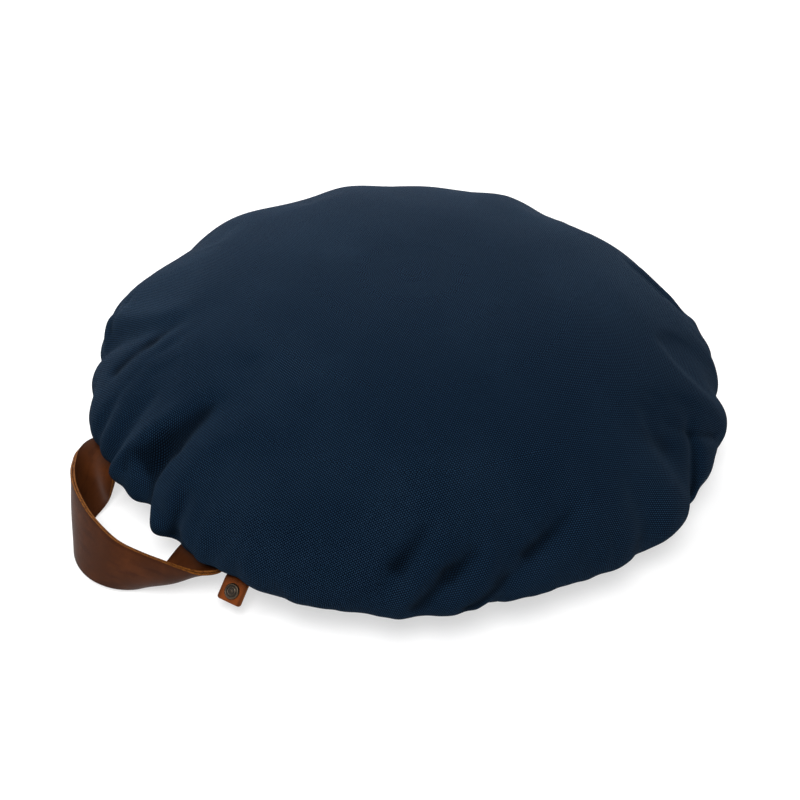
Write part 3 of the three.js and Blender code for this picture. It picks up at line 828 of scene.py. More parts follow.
@dataclass
class CushionCover:
    """The two sewn panels of the cushion over their stuffing."""

    profile: PanelProfile = field(default_factory=PanelProfile)
    points_round: int = 368
    closer_at: float = 300.0
    closer_by: float = 0.3
    seam_pinch: float = 5.0
    seam_pinch_width: float = 6.0
    gather_depth: float = 1.5
    gather_reach: float = 30.0
    puff: float = 4.0
    puff_limit: float = 2.0
    puff_frames: int = 20
    held_below: float = 10.0
    eased_at: float = 34.0
    eased_reach: float = 46.0
    eased_growth: float = 0.05
    # Crease depth in millimetres at which the painted crease shade is full.
    crease_full: float = 3.0
    fine_pitch: float = 0.86
    rib_pitch: float = 1.86
    thread_turn: float = 9.2

    def ring_places(self) -> list[tuple[float, int]]:
        """Where the rings of points lie.

        Returns:
            Rows of the place above the seam and how many times the ring's points are halved.
        """
        below = [(-float(up), 0) for up in np.linspace(self.profile.below, 0, 13)[:-1]]
        bands = ((0, 132, 4.0, 0), (132, 204, 7.2, 1), (204, 264, 12.0, 2), (264, 300, 12.0, 3))
        above = [
            (float(up), halved)
            for low, high, step, halved in bands
            for up in np.arange(low, high - 0.1, step)
        ]
        return [*below, *above, (300.0, 4), (self.profile.above - 14.0, 4)]

    def _degrees(self, halved: int) -> np.ndarray:
        """Places of a ring's points, closer together where the main folds are.

        Args:
            halved: How many times the ring's points are halved.

        Returns:
            Degrees round the rim.
        """
        count = self.points_round // 2**halved
        even = 360.0 * np.arange(count) / count
        return even - math.degrees(self.closer_by) * np.sin(np.radians(even - self.closer_at))

    def relief(self, deg: np.ndarray, up: np.ndarray, radius: np.ndarray) -> np.ndarray:
        """How far the stuffing and the folds move the cloth out of the plain profile.

        Args:
            deg: Places round the rim.
            up: Places above the seam.
            radius: Distances from the middle of the cushion.

        Returns:
            The outward distances in millimetres.
        """
        out = -self.seam_pinch * bell(up / self.seam_pinch_width)
        ripples = ((31, 0.6, 40), (43, 0.4, 115), (17, 0.5, 200))
        wave = sum(
            share * np.sin(np.radians(count * deg + shift)) for count, share, shift in ripples
        )
        out = out - self.gather_depth * wave * bell(up / self.gather_reach)
        for swell in SWELLS:
            out = out + swell.height(deg, up, radius)
        for fold in FOLDS:
            out = out - fold.depth(deg, up, radius)
        return out

    def surface(self, deg: np.ndarray, up: np.ndarray) -> np.ndarray:
        """Points of the cover.

        Args:
            deg: Places round the rim.
            up: Places above the seam.

        Returns:
            One row per point, in millimetres.
        """
        plain = self.profile.at(up)
        outward = self.profile.outward(up)
        fade = np.cos(np.pi / 2 * np.clip(-up / self.profile.below, 0.0, 1.0))
        out = self.relief(deg, up, plain[:, 0]) * fade
        radius = plain[:, 0] + outward[:, 0] * out
        height = np.maximum(plain[:, 1] + outward[:, 1] * out, 0.0)
        angle = np.radians(deg)
        return np.column_stack((radius * np.cos(angle), radius * np.sin(angle), height))

    def _foot_rings(self) -> list[tuple[np.ndarray, np.ndarray]]:
        """Rings of the flat underside, from its middle out.

        Returns:
            Pairs of points and lays, as _rings gives them.
        """
        rings = []
        for radius, halved in ((30, 4), (90, 4), (140, 3), (180, 2), (206, 1)):
            deg = self._degrees(halved)
            angle = np.radians(deg)
            points = np.column_stack((radius * np.cos(angle), radius * np.sin(angle), 0 * angle))
            down = -self.profile.below - (self.profile.foot_radius - radius)
            lay = np.column_stack((np.cos(angle), np.sin(angle), down + 0 * angle))
            rings.append((points, lay))
        return rings

    def _rings(self) -> list[tuple[np.ndarray, np.ndarray]]:
        """All rings from the middle of the underside to the crown.

        Returns:
            Pairs of points and lays; a lay is the cosine and sine of the place round the rim, and
            the place above the seam.
        """
        rings = self._foot_rings()
        for up, halved in self.ring_places():
            deg = self._degrees(halved)
            ups = np.full(len(deg), up)
            angle = np.radians(deg)
            lay = np.column_stack((np.cos(angle), np.sin(angle), ups))
            rings.append((self.surface(deg, ups), lay))
        return rings

    def _join(self, lower: range, upper: range) -> list[tuple[int, ...]]:
        """Faces between two rings, of which one may have twice the other's points.

        Args:
            lower: Point numbers of the lower ring.
            upper: Point numbers of the upper ring.

        Returns:
            The faces' point numbers.
        """
        faces: list[tuple[int, ...]] = []
        many = max(len(lower), len(upper))
        for i in range(many):
            low = lower[i * len(lower) // many]
            low_next = lower[(i + 1) * len(lower) // many % len(lower)]
            high = upper[i * len(upper) // many]
            high_next = upper[(i + 1) * len(upper) // many % len(upper)]
            corners = [low, low_next, high_next, high]
            faces.append(tuple(dict.fromkeys(corners)))
        return faces

    def lay_out(self) -> bpy.types.Object:
        """Makes the cover's first mesh.

        Returns:
            The object, with each point's lay stored on it.
        """
        rings = self._rings()
        points = [np.array([[0.0, 0.0, 0.0]])]
        lays = [np.array([[0.0, 0.0, -self.profile.below - self.profile.foot_radius]])]
        spans: list[range] = []
        count = 1
        for ring, lay in rings:
            points.append(ring)
            lays.append(lay)
            spans.append(range(count, count + len(ring)))
            count += len(ring)
        points.append(np.array([[0.0, 0.0, self.profile.height]]))
        lays.append(np.array([[0.0, 0.0, self.profile.above]]))
        first, last = spans[0], spans[-1]
        faces: list[tuple[int, ...]] = [
            (0, first[(i + 1) % len(first)], first[i]) for i in range(len(first))
        ]
        for lower, upper in zip(spans, spans[1:]):
            faces.extend(self._join(lower, upper))
        faces.extend((last[i], last[(i + 1) % len(last)], count) for i in range(len(last)))
        cover = make_mesh("cushion_cover", np.vstack(points), faces)
        write_values(cover.data, "lay", np.vstack(lays))
        return cover

    def inflate(self, cover: bpy.types.Object) -> None:
        """Lets the stuffing press the cloth out, and keeps a small share of the unevenness.

        Args:
            cover: The laid-out cover. Its points move by puff_limit at most.
        """
        start = read_points(cover.data)
        up = self._lays(cover.data)[1]
        held = cover.vertex_groups.new(name="held")
        eased = cover.vertex_groups.new(name="eased")
        for index, place in enumerate(up.tolist()):
            held.add([index], min(max(1.0 - place / self.held_below, 0.0), 1.0), "REPLACE")
            slack = math.exp(-(((place - self.eased_at) / self.eased_reach) ** 2))
            eased.add([index], slack, "REPLACE")
        cloth = cover.modifiers.new("stuffing", "CLOTH")
        settings = cloth.settings
        settings.quality = 6
        settings.mass = 0.4
        settings.tension_stiffness = settings.compression_stiffness = 25.0
        settings.shear_stiffness = 10.0
        settings.bending_stiffness = 0.6
        settings.use_pressure = True
        settings.uniform_pressure_force = self.puff
        settings.effector_weights.gravity = 0.0
        settings.vertex_group_mass = "held"
        settings.vertex_group_shrink = "eased"
        settings.shrink_min = 0.0
        settings.shrink_max = -self.eased_growth
        cloth.point_cache.frame_start, cloth.point_cache.frame_end = 1, self.puff_frames
        for number in range(1, self.puff_frames + 1):
            bpy.context.scene.frame_set(number)
        moved_cover = cover.evaluated_get(bpy.context.evaluated_depsgraph_get())
        moved = read_points(moved_cover.to_mesh())
        moved_cover.to_mesh_clear()
        cover.modifiers.clear()
        cover.vertex_groups.clear()
        bpy.context.scene.frame_set(1)
        shift = self._without_ring_means(moved - start, start, up)
        length = np.linalg.norm(shift, axis=1, keepdims=True)
        limit = self.puff_limit * MM
        shift *= np.tanh(length / limit) * limit / np.maximum(length, 1e-9)
        held_share = np.clip(up / 12.0, 0.0, 1.0)[:, None]
        write_points(cover.data, start + shift * held_share)
        LOG.info("stuffing moved the cloth by up to %.1f mm", length.max() / MM)

    @staticmethod
    def _without_ring_means(
        shift: np.ndarray, start: np.ndarray, up: np.ndarray
    ) -> np.ndarray:
        """Takes each ring's mean swelling off, since the profile is that of the full cushion.

        Args:
            shift: How far the stuffing moved each point.
            start: Where the points were.
            up: Places above the seam; a ring's points share one.

        Returns:
            What is left: the bulges and puckers along each ring.
        """
        outward = unit(start * (1.0, 1.0, 0.0))
        radial = (shift * outward).sum(axis=1)
        rest = shift.copy()
        for place in np.unique(np.round(up, 2)):
            ring = np.abs(up - place) < 0.02
            rest[ring] -= outward[ring] * radial[ring].mean()
            rest[ring, 2] -= shift[ring, 2].mean()
        return rest

    def _lays(self, mesh: bpy.types.Mesh) -> tuple[np.ndarray, np.ndarray]:
        """Reads the places of the mesh's points.

        Args:
            mesh: A mesh that carries lay.

        Returns:
            The places round the rim and the places above the seam.
        """
        lay = np.empty(len(mesh.vertices) * 3, np.float32)
        mesh.attributes["lay"].data.foreach_get("vector", lay)
        lay = lay.reshape(-1, 3).astype(float)
        return np.degrees(np.arctan2(lay[:, 1], lay[:, 0])), lay[:, 2]

    def _fine_relief(self, deg: np.ndarray, up: np.ndarray, radius: np.ndarray) -> np.ndarray:
        """Creases, seam puckers and soft unevenness too fine for the part's own solid.

        Args:
            deg: Places round the rim.
            up: Places above the seam.
            radius: Distances from the middle of the cushion.

        Returns:
            The outward distances in millimetres.
        """
        out = np.zeros(len(deg))
        for crease in CREASES:
            out -= crease.depth(deg, up, radius)
        bend = deg + 0.05 * up
        puckers = (
            0.50 * np.sin(np.radians(67 * bend + 20))
            + 0.35 * np.sin(np.radians(89 * bend + 140))
            + 0.30 * np.sin(np.radians(113 * deg + 75))
        )
        uneven = 0.55 + 0.45 * np.sin(np.radians(7 * deg + 30)) * np.sin(np.radians(11 * deg + 80))
        out += 0.9 * puckers * uneven * np.exp(-np.abs(up) / 15.0)
        angle = np.radians(deg)
        x, y = radius * np.cos(angle), radius * np.sin(angle)
        lumps = (
            np.sin(x / 37.0 + 0.6) * np.sin(y / 29.0 + 1.9)
            + 0.7 * np.sin((x + y) / 23.0) * np.sin((x - y) / 31.0 + 0.8)
            + 0.4 * np.sin((0.3 * x + y) / 13.0 + 2.2) * np.sin((x - 0.2 * y) / 17.0)
        )
        out += 0.42 * lumps * np.clip(up / 40.0, 0.0, 1.0)
        return out

    def refine(self, cover: bpy.types.Object) -> None:
        """Subdivides the cover, presses the finer creases in and counts its threads.

        Args:
            cover: The cover after the stuffing.
        """
        smoother = cover.modifiers.new("finer", "SUBSURF")
        smoother.levels = smoother.render_levels = 1
        apply_modifiers(cover)
        mesh = cover.data
        deg, up = self._lays(mesh)
        points = read_points(mesh)
        radius = np.hypot(points[:, 0], points[:, 1]) / MM
        normals = np.empty(len(mesh.vertices) * 3, np.float32)
        mesh.vertices.foreach_get("normal", normals)
        out = self._fine_relief(deg, up, radius)
        out *= np.cos(np.pi / 2 * np.clip(-up / self.profile.below, 0.0, 1.0))
        points += normals.reshape(-1, 3) * out[:, None] * MM
        points[:, 2] = np.maximum(points[:, 2], 0.0)
        write_points(mesh, points)
        self._count_threads(mesh, deg, up)
        # Painted shade: the finer creases' depth, stored as in_crease, darkens the cloth's colour
        # there.
        depth = sum(crease.depth(deg, up, radius) for crease in CREASES)
        write_values(mesh, "in_crease", np.clip(depth / self.crease_full, 0.0, 1.0))

    def _count_threads(self, mesh: bpy.types.Mesh, deg: np.ndarray, up: np.ndarray) -> None:
        """Stores the threads' grid as each flat panel was cut.

        Args:
            mesh: The cover's mesh.
            deg: Places round the rim.
            up: Places above the seam.
        """
        angle = np.radians(deg - self.thread_turn)
        over = self.profile.above - up
        under = up + self.profile.below + self.profile.foot_radius
        across_fine = np.cos(angle) / self.fine_pitch
        across_rib = np.sin(angle) / self.rib_pitch
        grid = np.column_stack((across_fine, across_rib, 0 * angle))
        write_values(mesh, "threads_over", grid * over[:, None])
        write_values(mesh, "threads_under", grid * under[:, None])
        write_values(mesh, "above_seam", up)

    def distance_from_frame(self, cover: bpy.types.Object) -> float:
        """Largest distance of the cover from the solid cushion, sampled.

        Args:
            cover: The finished cover.

        Returns:
            The distance in millimetres.
        """
        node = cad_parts["cushion"]
        faces = [tuple(face.vertices) for face in node.data.polygons]
        tree = BVHTree.FromPolygons([point.co for point in node.data.vertices], faces)
        sampled = read_points(cover.data)[::37]
        return max(tree.find_nearest(Vector(point))[3] for point in sampled) / MM

    def build(self) -> bpy.types.Object:
        """Builds and dresses the cover.

        Returns:
            The finished piece.
        """
        cover = self.lay_out()
        self.inflate(cover)
        self.refine(cover)
        cover.data.materials.clear()
        cover.data.materials.append(NavyWeave().material())
        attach(cover, "root")
        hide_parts("cushion")
        return cover


# Leather strips


@dataclass(frozen=True)
class StrapSection:
    """One section across the handle: its two edges, and how far its middle bulges outward."""

    upper: Point
    lower: Point
    bow: float


HANDLE_SECTIONS = (
    StrapSection((-90.5, -232, 29.5), (-46.5, -243, 29.5), 0),
    StrapSection((-94.5, -248, 29.5), (-49.5, -253.5, 29.5), 0),
    StrapSection((-98, -266, 30.5), (-52, -264, 27), 1),
    StrapSection((-88, -280.5, 32.5), (-50, -271, 17), 2),
    StrapSection((-73, -290.5, 35.5), (-45.5, -280, 7.5), 2.5),
    StrapSection((-58, -298.5, 40), (-40, -293, 4), 3),
    StrapSection((-41, -305, 43), (-29, -311, 3.6), 3),
    StrapSection((-20, -308.5, 44.5), (-13, -322.5, 3.6), 2),
    StrapSection((3, -309, 45), (6, -328, 3.6), 1),
    StrapSection((32, -305, 44.5), (25, -326, 3.6), 1),
    StrapSection((53, -295.5, 42.5), (41, -316, 3.8), 2),
    StrapSection((71, -284, 39), (52, -299, 4.4), 4),
    StrapSection((83, -272, 34.5), (52.5, -286, 5.5), 6),
    StrapSection((91, -262.5, 31.5), (49, -275, 12.5), 5),
    StrapSection((96, -250, 30), (50.5, -262, 26), 2),
    StrapSection((92, -236, 29.5), (47.5, -247, 29), 0),
    StrapSection((89, -225, 29.5), (45, -236, 29.5), 0),
)


def smooth_line(rows: np.ndarray, t: np.ndarray) -> np.ndarray:
    """Smooth curve through rows of numbers.

    Args:
        rows: The rows that it passes through.
        t: Places along it, from nothing to one.

    Returns:
        One row per place.
    """
    padded = np.vstack((2 * rows[0] - rows[1], rows, 2 * rows[-1] - rows[-2]))
    place = np.clip(t, 0.0, 1.0) * (len(rows) - 1)
    index = np.minimum(place.astype(int), len(rows) - 2)
    w = (place - index)[:, None]
    before, a, b, after = (padded[index + k] for k in range(4))
    ta, tb = 0.5 * (b - before), 0.5 * (after - a)
    return a + ta * w + (3 * (b - a) - 2 * ta - tb) * w**2 + (2 * (a - b) + ta + tb) * w**3


class LeatherStrip:
    """A strip of leather with rounded edges along a curved middle surface."""

    def __init__(self, width: float, steps: int, corner: float) -> None:
        """Keeps the strip's sizes.

        Args:
            width: Full width in millimetres.
            steps: Sections along it.
            corner: Radius of its rubbed edges.
        """
        self.width = width
        self.steps = steps
        self.corner = corner

    def half_width(self, t: np.ndarray) -> np.ndarray:
        """Half of the width at places along the strip."""
        return np.full(np.shape(t), self.width / 2)

    def middle(self, t: np.ndarray, side: np.ndarray) -> np.ndarray:
        """Points of the middle surface at places along and across the strip."""
        raise NotImplementedError

    def thinning(self, t: np.ndarray) -> np.ndarray:
        """Share of the thickness that is left at places along the strip."""
        return np.ones(np.shape(t))

    def normal(self, t: np.ndarray, side: np.ndarray) -> np.ndarray:
        """Direction out of the strip's outer face.

        Args:
            t: Places along the strip.
            side: Distances from its centre line.

        Returns:
            One row per place.
        """
        probe = 0.002
        ahead = self.middle(np.clip(t + probe, 0, 1), side)
        along = ahead - self.middle(np.clip(t - probe, 0, 1), side)
        across = self.middle(t, side + 1.0) - self.middle(t, side - 1.0)
        return unit(np.cross(along, across))

    def _section(self, inner: float, outer: float) -> list[tuple[float, float, float, float]]:
        """Outline of a cut across the strip.

        Args:
            inner: Offset of its inner face from the middle surface.
            outer: Offset of its outer face.

        Returns:
            Rows of the share of the flat width, the distance past it, the offset, and one where
            the row lies on the cut edge.
        """
        flat = np.linspace(-1.0, 1.0, 13)
        turns = np.radians([15, 45, 75])
        c = self.corner
        quarter = [(c * math.sin(a), c - c * math.cos(a), math.sin(a)) for a in turns]
        rows = [(float(s), 0.0, outer, 0.0) for s in flat]
        rows += [(1.0, past, outer - drop, cut) for past, drop, cut in quarter]
        rows += [(1.0, c, (inner + outer) / 2, 1.0)]
        rows += [(1.0, past, inner + drop, cut) for past, drop, cut in quarter[::-1]]
        rows += [(float(s), 0.0, inner, 0.0) for s in flat[::-1]]
        rows += [(-1.0, -past, inner + drop, cut) for past, drop, cut in quarter]
        rows += [(-1.0, -c, (inner + outer) / 2, 1.0)]
        rows += [(-1.0, -past, outer - drop, cut) for past, drop, cut in quarter[::-1]]
        return rows

    def places(self) -> np.ndarray:
        """Where the sections lie along the strip."""
        return np.linspace(0.0, 1.0, self.steps + 1)

    def build(self, name: str, inner: float, outer: float) -> bpy.types.Object:
        """Makes the strip between two offsets from its middle surface.

        Args:
            name: The piece's name.
            inner: Offset of its inner face in millimetres.
            outer: Offset of its outer face.

        Returns:
            The object, with run and cut_edge stored on it.
        """
        section = self._section(inner, outer)
        centre = (inner + outer) / 2
        t_all = self.places()
        rows, runs, cuts = [], [], []
        half = self.half_width(t_all) - self.corner
        thin = self.thinning(t_all)
        for share, past, offset, cut in section:
            side = share * half + past
            offsets = centre + (offset - centre) * thin
            points = self.middle(t_all, side) + self.normal(t_all, side) * offsets[:, None]
            rows.append(points)
            runs.append(np.column_stack((t_all, side, 0 * side)))
            cuts.append(np.maximum(cut, 1.0 - thin))
        count = len(section)
        points = np.stack(rows, axis=1).reshape(-1, 3)
        steps = np.linalg.norm(np.diff(self.middle(t_all, 0 * t_all), axis=0), axis=1)
        run = np.stack(runs, axis=1)
        run[:, :, 0] = np.concatenate(([0.0], np.cumsum(steps)))[:, None]
        faces: list[tuple[int, ...]] = []
        for i in range(len(t_all) - 1):
            for j in range(count):
                a, b = i * count + j, i * count + (j + 1) % count
                faces.append((a, b, b + count, a + count))
        last = (len(t_all) - 1) * count
        faces.append(tuple(reversed(range(count))))
        faces.append(tuple(range(last, last + count)))
        made = make_mesh(name, points, faces)
        write_values(made.data, "run", run.reshape(-1, 3) * MM)
        write_values(made.data, "cut_edge", np.stack(cuts, axis=1).ravel())
        self._face_outward(made.data)
        return made

    def _face_outward(self, mesh: bpy.types.Mesh) -> None:
        """Turns the faces over where they point into the leather.

        Args:
            mesh: The strip's mesh.
        """
        points = read_points(mesh)
        volume = 0.0
        for face in mesh.polygons:
            a, *rest = (points[i] for i in face.vertices)
            for b, c in zip(rest, rest[1:]):
                volume += float(np.dot(a, np.cross(b, c)))
        if volume < 0:
            mesh.flip_normals()


class HandleStrip(LeatherStrip):
    """The handle's strip, ruled between the edges of its sections."""

    def __init__(self, width: float = 45.0, steps: int = 150, corner: float = 0.55) -> None:
        """Reads the sections.

        Args:
            width: Full width in millimetres.
            steps: Sections along it.
            corner: Radius of its rubbed edges.
        """
        super().__init__(width, steps, corner)
        self.uppers = np.array([section.upper for section in HANDLE_SECTIONS], float)
        self.lowers = np.array([section.lower for section in HANDLE_SECTIONS], float)
        self.bows = np.array([[section.bow] for section in HANDLE_SECTIONS], float)

    def _centre(self, t: np.ndarray) -> np.ndarray:
        """Points of the centre line."""
        return (smooth_line(self.uppers, t) + smooth_line(self.lowers, t)) / 2

    def middle(self, t: np.ndarray, side: np.ndarray) -> np.ndarray:
        """Points of the middle surface.

        Args:
            t: Places along the strip.
            side: Distances from its centre line.

        Returns:
            One row per point.
        """
        across = unit(smooth_line(self.uppers, t) - smooth_line(self.lowers, t))
        probe = 0.002
        heading = self._centre(np.clip(t + probe, 0, 1)) - self._centre(np.clip(t - probe, 0, 1))
        facing = unit(np.cross(heading, across))
        from_edge = 1.0 - (side / (self.width / 2)) ** 2
        bulge = smooth_line(self.bows, t) * from_edge[:, None]
        return self._centre(t) + across * side[:, None] + facing * bulge


@dataclass
class Handle:
    """Carrying handle of two plies back to back."""

    ply: float = 1.8
    gap: float = 0.3
    strip: HandleStrip = field(default_factory=HandleStrip)

    def build(self) -> list[bpy.types.Object]:
        """Builds and dresses both plies.

        Returns:
            The outer and the inner ply.
        """
        near = self.gap / 2
        far = near + self.ply
        leather = OiledLeather("handle_leather").material()
        made = []
        for name, node, inner, outer in (
            ("handle_outer_leather", "handle_outer_ply", near, far),
            ("handle_inner_leather", "handle_inner_ply", -far, -near),
        ):
            ply = self.strip.build(name, inner, outer)
            ply.data.materials.append(leather)
            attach(ply, "root")
            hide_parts(node)
            made.append(ply)
        return made


class TabStrip(LeatherStrip):
    """The tab's strip: sewn in, bent over the seam and hanging at a slope."""

    angle = math.radians(294.4)
    seam_radius = 265.0
    seam_height = 29.0
    sewn_in = 14.0
    shown = 20.0
    bend = 6.0
    droop = math.radians(42.0)
    tip_corner = 2.5

    def __init__(self) -> None:
        """Sets the tab's width and sections."""
        super().__init__(width=21.0, steps=40, corner=0.6)

    @property
    def length(self) -> float:
        """Length of the tab with its sewn-in part."""
        return self.sewn_in + self.shown

    def places(self) -> np.ndarray:
        """Where the sections lie, closer together at the tip.

        Returns:
            Places along the tab, from nothing to one.
        """
        body = np.linspace(0.0, 1.0 - self.tip_corner / self.length, self.steps)
        tip = self.tip_corner / self.length * np.sin(np.radians(np.linspace(0, 90, 13)))
        return np.concatenate((body, 1.0 - self.tip_corner / self.length + tip[1:]))

    def half_width(self, t: np.ndarray) -> np.ndarray:
        """Half width, rounded at the tip's corners.

        Args:
            t: Places along the tab.

        Returns:
            The half widths in millimetres.
        """
        from_tip = self.length * (1.0 - t)
        missing = np.maximum(self.tip_corner - from_tip, 0.0) / self.tip_corner
        return self.width / 2 - self.tip_corner * (1.0 - np.sqrt(np.maximum(1.0 - missing**2, 0.0)))

    def thinning(self, t: np.ndarray) -> np.ndarray:
        """Rounds the end of the tip.

        Args:
            t: Places along the tab.

        Returns:
            Share of the thickness that is left.
        """
        rubbed = 0.6
        missing = np.maximum(rubbed - self.length * (1.0 - t), 0.0) / rubbed
        return 0.35 + 0.65 * np.sqrt(np.maximum(1.0 - missing**2, 0.0))

    def centre(self, distance: np.ndarray) -> np.ndarray:
        """Points of the centre line.

        Args:
            distance: Distances from the sewn-in end.

        Returns:
            One row per distance.
        """
        bend_length = self.bend * self.droop
        turned = np.clip(distance - self.sewn_in, 0.0, bend_length) / self.bend
        straight = np.maximum(distance - self.sewn_in - bend_length, 0.0)
        flat = np.minimum(distance, self.sewn_in) - self.sewn_in
        out = flat + self.bend * np.sin(turned) + straight * math.cos(self.droop)
        down = self.bend * (1.0 - np.cos(turned)) + straight * math.sin(self.droop)
        radius = self.seam_radius + out
        return np.column_stack(
            (radius * math.cos(self.angle), radius * math.sin(self.angle), self.seam_height - down)
        )

    def middle(self, t: np.ndarray, side: np.ndarray) -> np.ndarray:
        """Points of the middle surface."""
        across = np.array([-math.sin(self.angle), math.cos(self.angle), 0.0])
        return self.centre(t * self.length) + across * side[:, None]

    def cap_frame(self, from_tip: float) -> Matrix:
        """Where the snap cap sits.

        Args:
            from_tip: Distance of the cap's middle from the tip.

        Returns:
            The cap's frame in metres, its Z out of the leather's upper face.
        """
        spot, tip = self.centre(np.array([self.length - from_tip, self.length]))
        down_slope = Vector(tip - spot).normalized()
        across = Vector((-math.sin(self.angle), math.cos(self.angle), 0.0))
        facing = across.cross(down_slope)
        if facing.z < 0:
            facing.negate()
        side = down_slope.cross(facing)
        turn = Matrix((down_slope, -side, facing)).transposed()
        return Matrix.Translation(Vector(spot * MM)) @ turn.to_4x4()


@dataclass
class SnapTab:
    """Small leather tab beside the handle."""

    thickness: float = 2.4
    strip: TabStrip = field(default_factory=TabStrip)

    def build(self) -> bpy.types.Object:
        """Builds and dresses the tab.

        Returns:
            The tab.
        """
        half = self.thickness / 2
        tab = self.strip.build("tab_leather", -half, half)
        leather = OiledLeather(
            "tab_leather",
            face=(0.125, 0.030, 0.0060),
            pale=(0.165, 0.040, 0.0080),
            half_width=self.strip.width / 2 * MM,
        )
        tab.data.materials.append(leather.material())
        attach(tab, "root")
        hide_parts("tab")
        return tab


@dataclass(frozen=True)
class CapRow:
    """One row of the cap's turned outline: share of the radius, height, and how worn it is."""

    share: float
    rise: float
    crest: float


CAP_ROWS = (
    CapRow(1.00, 0.00, 0.0),
    CapRow(1.00, 0.55, 0.5),
    CapRow(0.985, 0.95, 0.8),
    CapRow(0.95, 1.35, 0.9),
    CapRow(0.90, 1.75, 1.0),
    CapRow(0.85, 2.00, 1.0),
    CapRow(0.80, 2.05, 0.9),
    CapRow(0.76, 1.95, 0.4),
    CapRow(0.72, 1.70, 0.0),
    CapRow(0.66, 1.58, 0.0),
    CapRow(0.60, 1.62, 0.0),
    CapRow(0.565, 1.85, 0.5),
    CapRow(0.53, 2.05, 1.0),
    CapRow(0.48, 2.10, 0.9),
    CapRow(0.44, 1.95, 0.3),
    CapRow(0.38, 1.86, 0.1),
    CapRow(0.26, 1.95, 0.4),
    CapRow(0.13, 2.08, 0.7),
)


@dataclass
class SnapCap:
    """Turned cap of the snap with plain rings, its post and its back flange."""

    radius: float = 6.2
    height: float = 2.2
    post_radius: float = 2.0
    flange_radius: float = 4.5
    flange: float = 1.2
    seat: float = 1.5
    from_tip: float = 9.0
    sides: int = 96

    def outline(self) -> list[tuple[float, float, float]]:
        """The turned outline, from the flange to the crown.

        Returns:
            Rows of radius, height over the tab's middle, and wear.
        """
        back = [
            (self.flange_radius * 0.6, -self.seat - self.flange, 0.3),
            (self.flange_radius * 0.93, -self.seat - self.flange * 0.9, 0.8),
            (self.flange_radius, -self.seat - self.flange * 0.5, 0.5),
            (self.flange_radius, -self.seat, 0.0),
            (self.post_radius, -self.seat, 0.0),
            (self.post_radius, self.seat, 0.0),
        ]
        cap = [(row.share * self.radius, self.seat + row.rise, row.crest) for row in CAP_ROWS]
        return [*back, *cap]

    def build(self, strip: TabStrip) -> bpy.types.Object:
        """Builds and dresses the cap.

        Args:
            strip: The tab's strip, which gives the cap's place.

        Returns:
            The cap.
        """
        rows = self.outline()
        angle = 2 * np.pi * np.arange(self.sides) / self.sides
        rings = [
            np.column_stack((r * np.cos(angle), r * np.sin(angle), z + 0 * angle))
            for r, z, _ in rows
        ]
        tips = np.array([[0, 0, rows[0][1]], [0, 0, self.seat + self.height - 0.08]], float)
        points = np.vstack((*rings, tips))
        crest = np.concatenate([np.full(self.sides, wear) for _, _, wear in rows] + [[0.3, 0.8]])
        n, count = self.sides, len(rows)
        faces: list[tuple[int, ...]] = []
        for i in range(count - 1):
            for j in range(n):
                k = (j + 1) % n
                faces.append((i * n + j, i * n + k, (i + 1) * n + k, (i + 1) * n + j))
        bottom, top = count * n, count * n + 1
        faces.extend((bottom, (j + 1) % n, j) for j in range(n))
        faces.extend((top, (count - 1) * n + j, (count - 1) * n + (j + 1) % n) for j in range(n))
        cap = make_mesh("cap_bronze", points, faces)
        write_values(cap.data, "crest", crest)
        cap.data.transform(strip.cap_frame(self.from_tip))
        cap.data.materials.append(AgedBronze().material())
        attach(cap, "root")
        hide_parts("snap_cap")
        return cap


# Studio


class LightShape(Enum):
    """Shape of a softbox."""

    DISK = "DISK"


@dataclass(frozen=True)
class Softbox:
    """One soft light: where it stands and aims, its size in metres and its power in watts."""

    name: str
    place: Point
    aim: Point
    size: float
    power: float
    shape: LightShape = LightShape.DISK

    def build(self) -> bpy.types.Object:
        """Hangs the light.

        Returns:
            The light.
        """
        lamp = bpy.data.lights.new(self.name, "AREA")
        lamp.shape = self.shape.value
        lamp.size = self.size
        lamp.energy = self.power
        made = bpy.data.objects.new(self.name, lamp)
        made.location = self.place
        made.rotation_mode = "QUATERNION"
        made.rotation_quaternion = (Vector(self.aim) - Vector(self.place)).to_track_quat("-Z", "Y")
        bpy.context.scene.collection.objects.link(made)
        return made


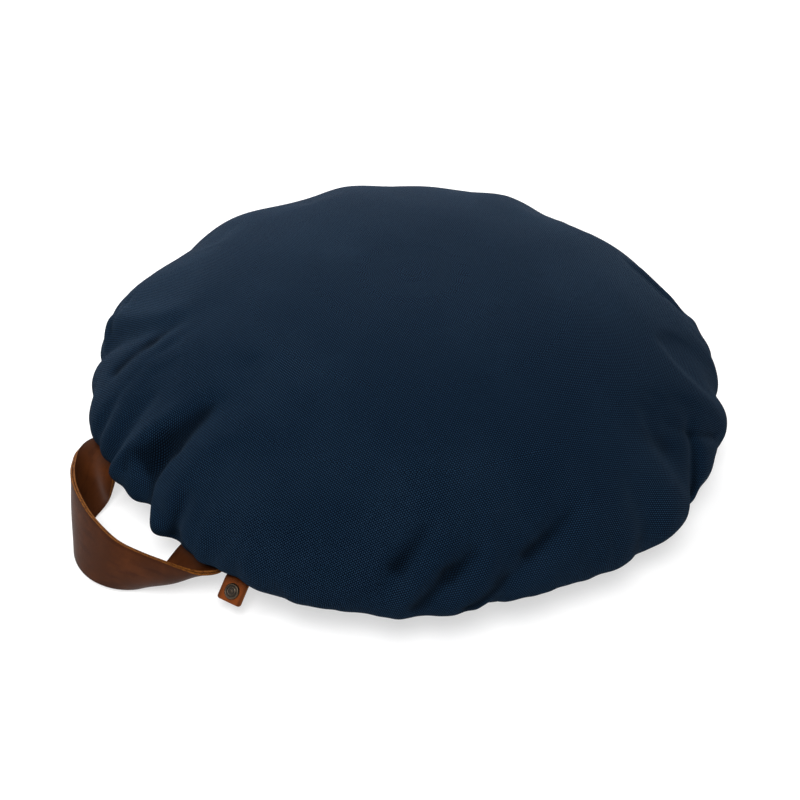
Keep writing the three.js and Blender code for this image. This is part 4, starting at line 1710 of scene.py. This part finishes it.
@dataclass(frozen=True)
class PhotoCamera:
    """Camera at the photograph's angle to the cushion."""

    azimuth: float = 52.0
    elevation: float = 39.0
    roll: float = 2.45
    distance: float = 1.156
    aim_height: float = 0.05
    lens: float = 57.8
    sensor: float = 36.0
    shift_x: float = -0.0101
    shift_y: float = -0.0350

    def build(self) -> bpy.types.Object:
        """Sets up the camera.

        Returns:
            The camera.
        """
        around, up_angle = math.radians(self.azimuth), math.radians(self.elevation)
        flat = math.cos(up_angle)
        back = Vector(
            (math.sin(around) * flat, -math.cos(around) * flat, math.sin(up_angle))
        )
        right = Vector((math.cos(around), math.sin(around), 0.0))
        up = back.cross(right)
        tilt = math.radians(self.roll)
        right_rolled = math.cos(tilt) * right + math.sin(tilt) * up
        up_rolled = -math.sin(tilt) * right + math.cos(tilt) * up
        lens = bpy.data.cameras.new("photo_camera")
        lens.lens, lens.sensor_width = self.lens, self.sensor
        lens.shift_x, lens.shift_y = self.shift_x, self.shift_y
        lens.clip_start, lens.clip_end = 0.05, 60.0
        made = bpy.data.objects.new("photo_camera", lens)
        turn = Matrix((right_rolled, up_rolled, back)).transposed().to_4x4()
        place = Vector((0, 0, self.aim_height)) + back * self.distance
        made.matrix_world = Matrix.Translation(place) @ turn
        bpy.context.scene.collection.objects.link(made)
        bpy.context.scene.camera = made
        return made


@dataclass
class Studio:
    """Pale floor, soft lights and an even sky."""

    sky: float = 0.12
    floor_size: float = 40.0
    boxes: tuple[Softbox, ...] = (
        Softbox("back_softbox", (-1.77, 0.96, 0.90), (0, 0, 0.08), 1.5, 84.0),
        Softbox("left_softbox", (-0.80, -1.05, 1.75), (0, 0, 0.05), 1.2, 12.0),
        Softbox("front_softbox", (0.84, -0.76, 1.95), (0, 0, 0.05), 1.1, 50.0),
    )

    def build(self) -> None:
        """Lays the floor, hangs the lights and lights the sky."""
        half = self.floor_size / 2 / MM
        corners = np.array([[-half, -half, 0], [half, -half, 0], [half, half, 0], [-half, half, 0]])
        floor = make_mesh("floor", corners - np.array([0, 0, 0.15]), [(0, 1, 2, 3)], smooth=False)
        floor.data.materials.append(PaleFloor().material())
        for box in self.boxes:
            box.build()
        world = bpy.data.worlds.new("even_sky")
        world.use_nodes = True
        background = world.node_tree.nodes["Background"]
        background.inputs["Color"].default_value = (0.97, 0.985, 1.0, 1.0)
        background.inputs["Strength"].default_value = self.sky
        bpy.context.scene.world = world
        bpy.context.scene.view_settings.view_transform = "Standard"


def main() -> None:
    """Builds the studio and the cushion's pieces, and reports each."""
    logging.basicConfig(level=logging.INFO, format="%(name)s: %(message)s")
    PhotoCamera().build()
    Studio().build()
    cover = CushionCover()
    sewn = cover.build()
    LOG.info("%s: %d faces", sewn.name, len(sewn.data.polygons))
    LOG.info("cover lies within %.1f mm of its solid", cover.distance_from_frame(sewn))
    for ply in Handle().build():
        LOG.info("%s: %d faces", ply.name, len(ply.data.polygons))
    tab = SnapTab()
    for piece in (tab.build(), SnapCap().build(tab.strip)):
        LOG.info("%s: %d faces", piece.name, len(piece.data.polygons))


if __name__ == "__main__":
    main()
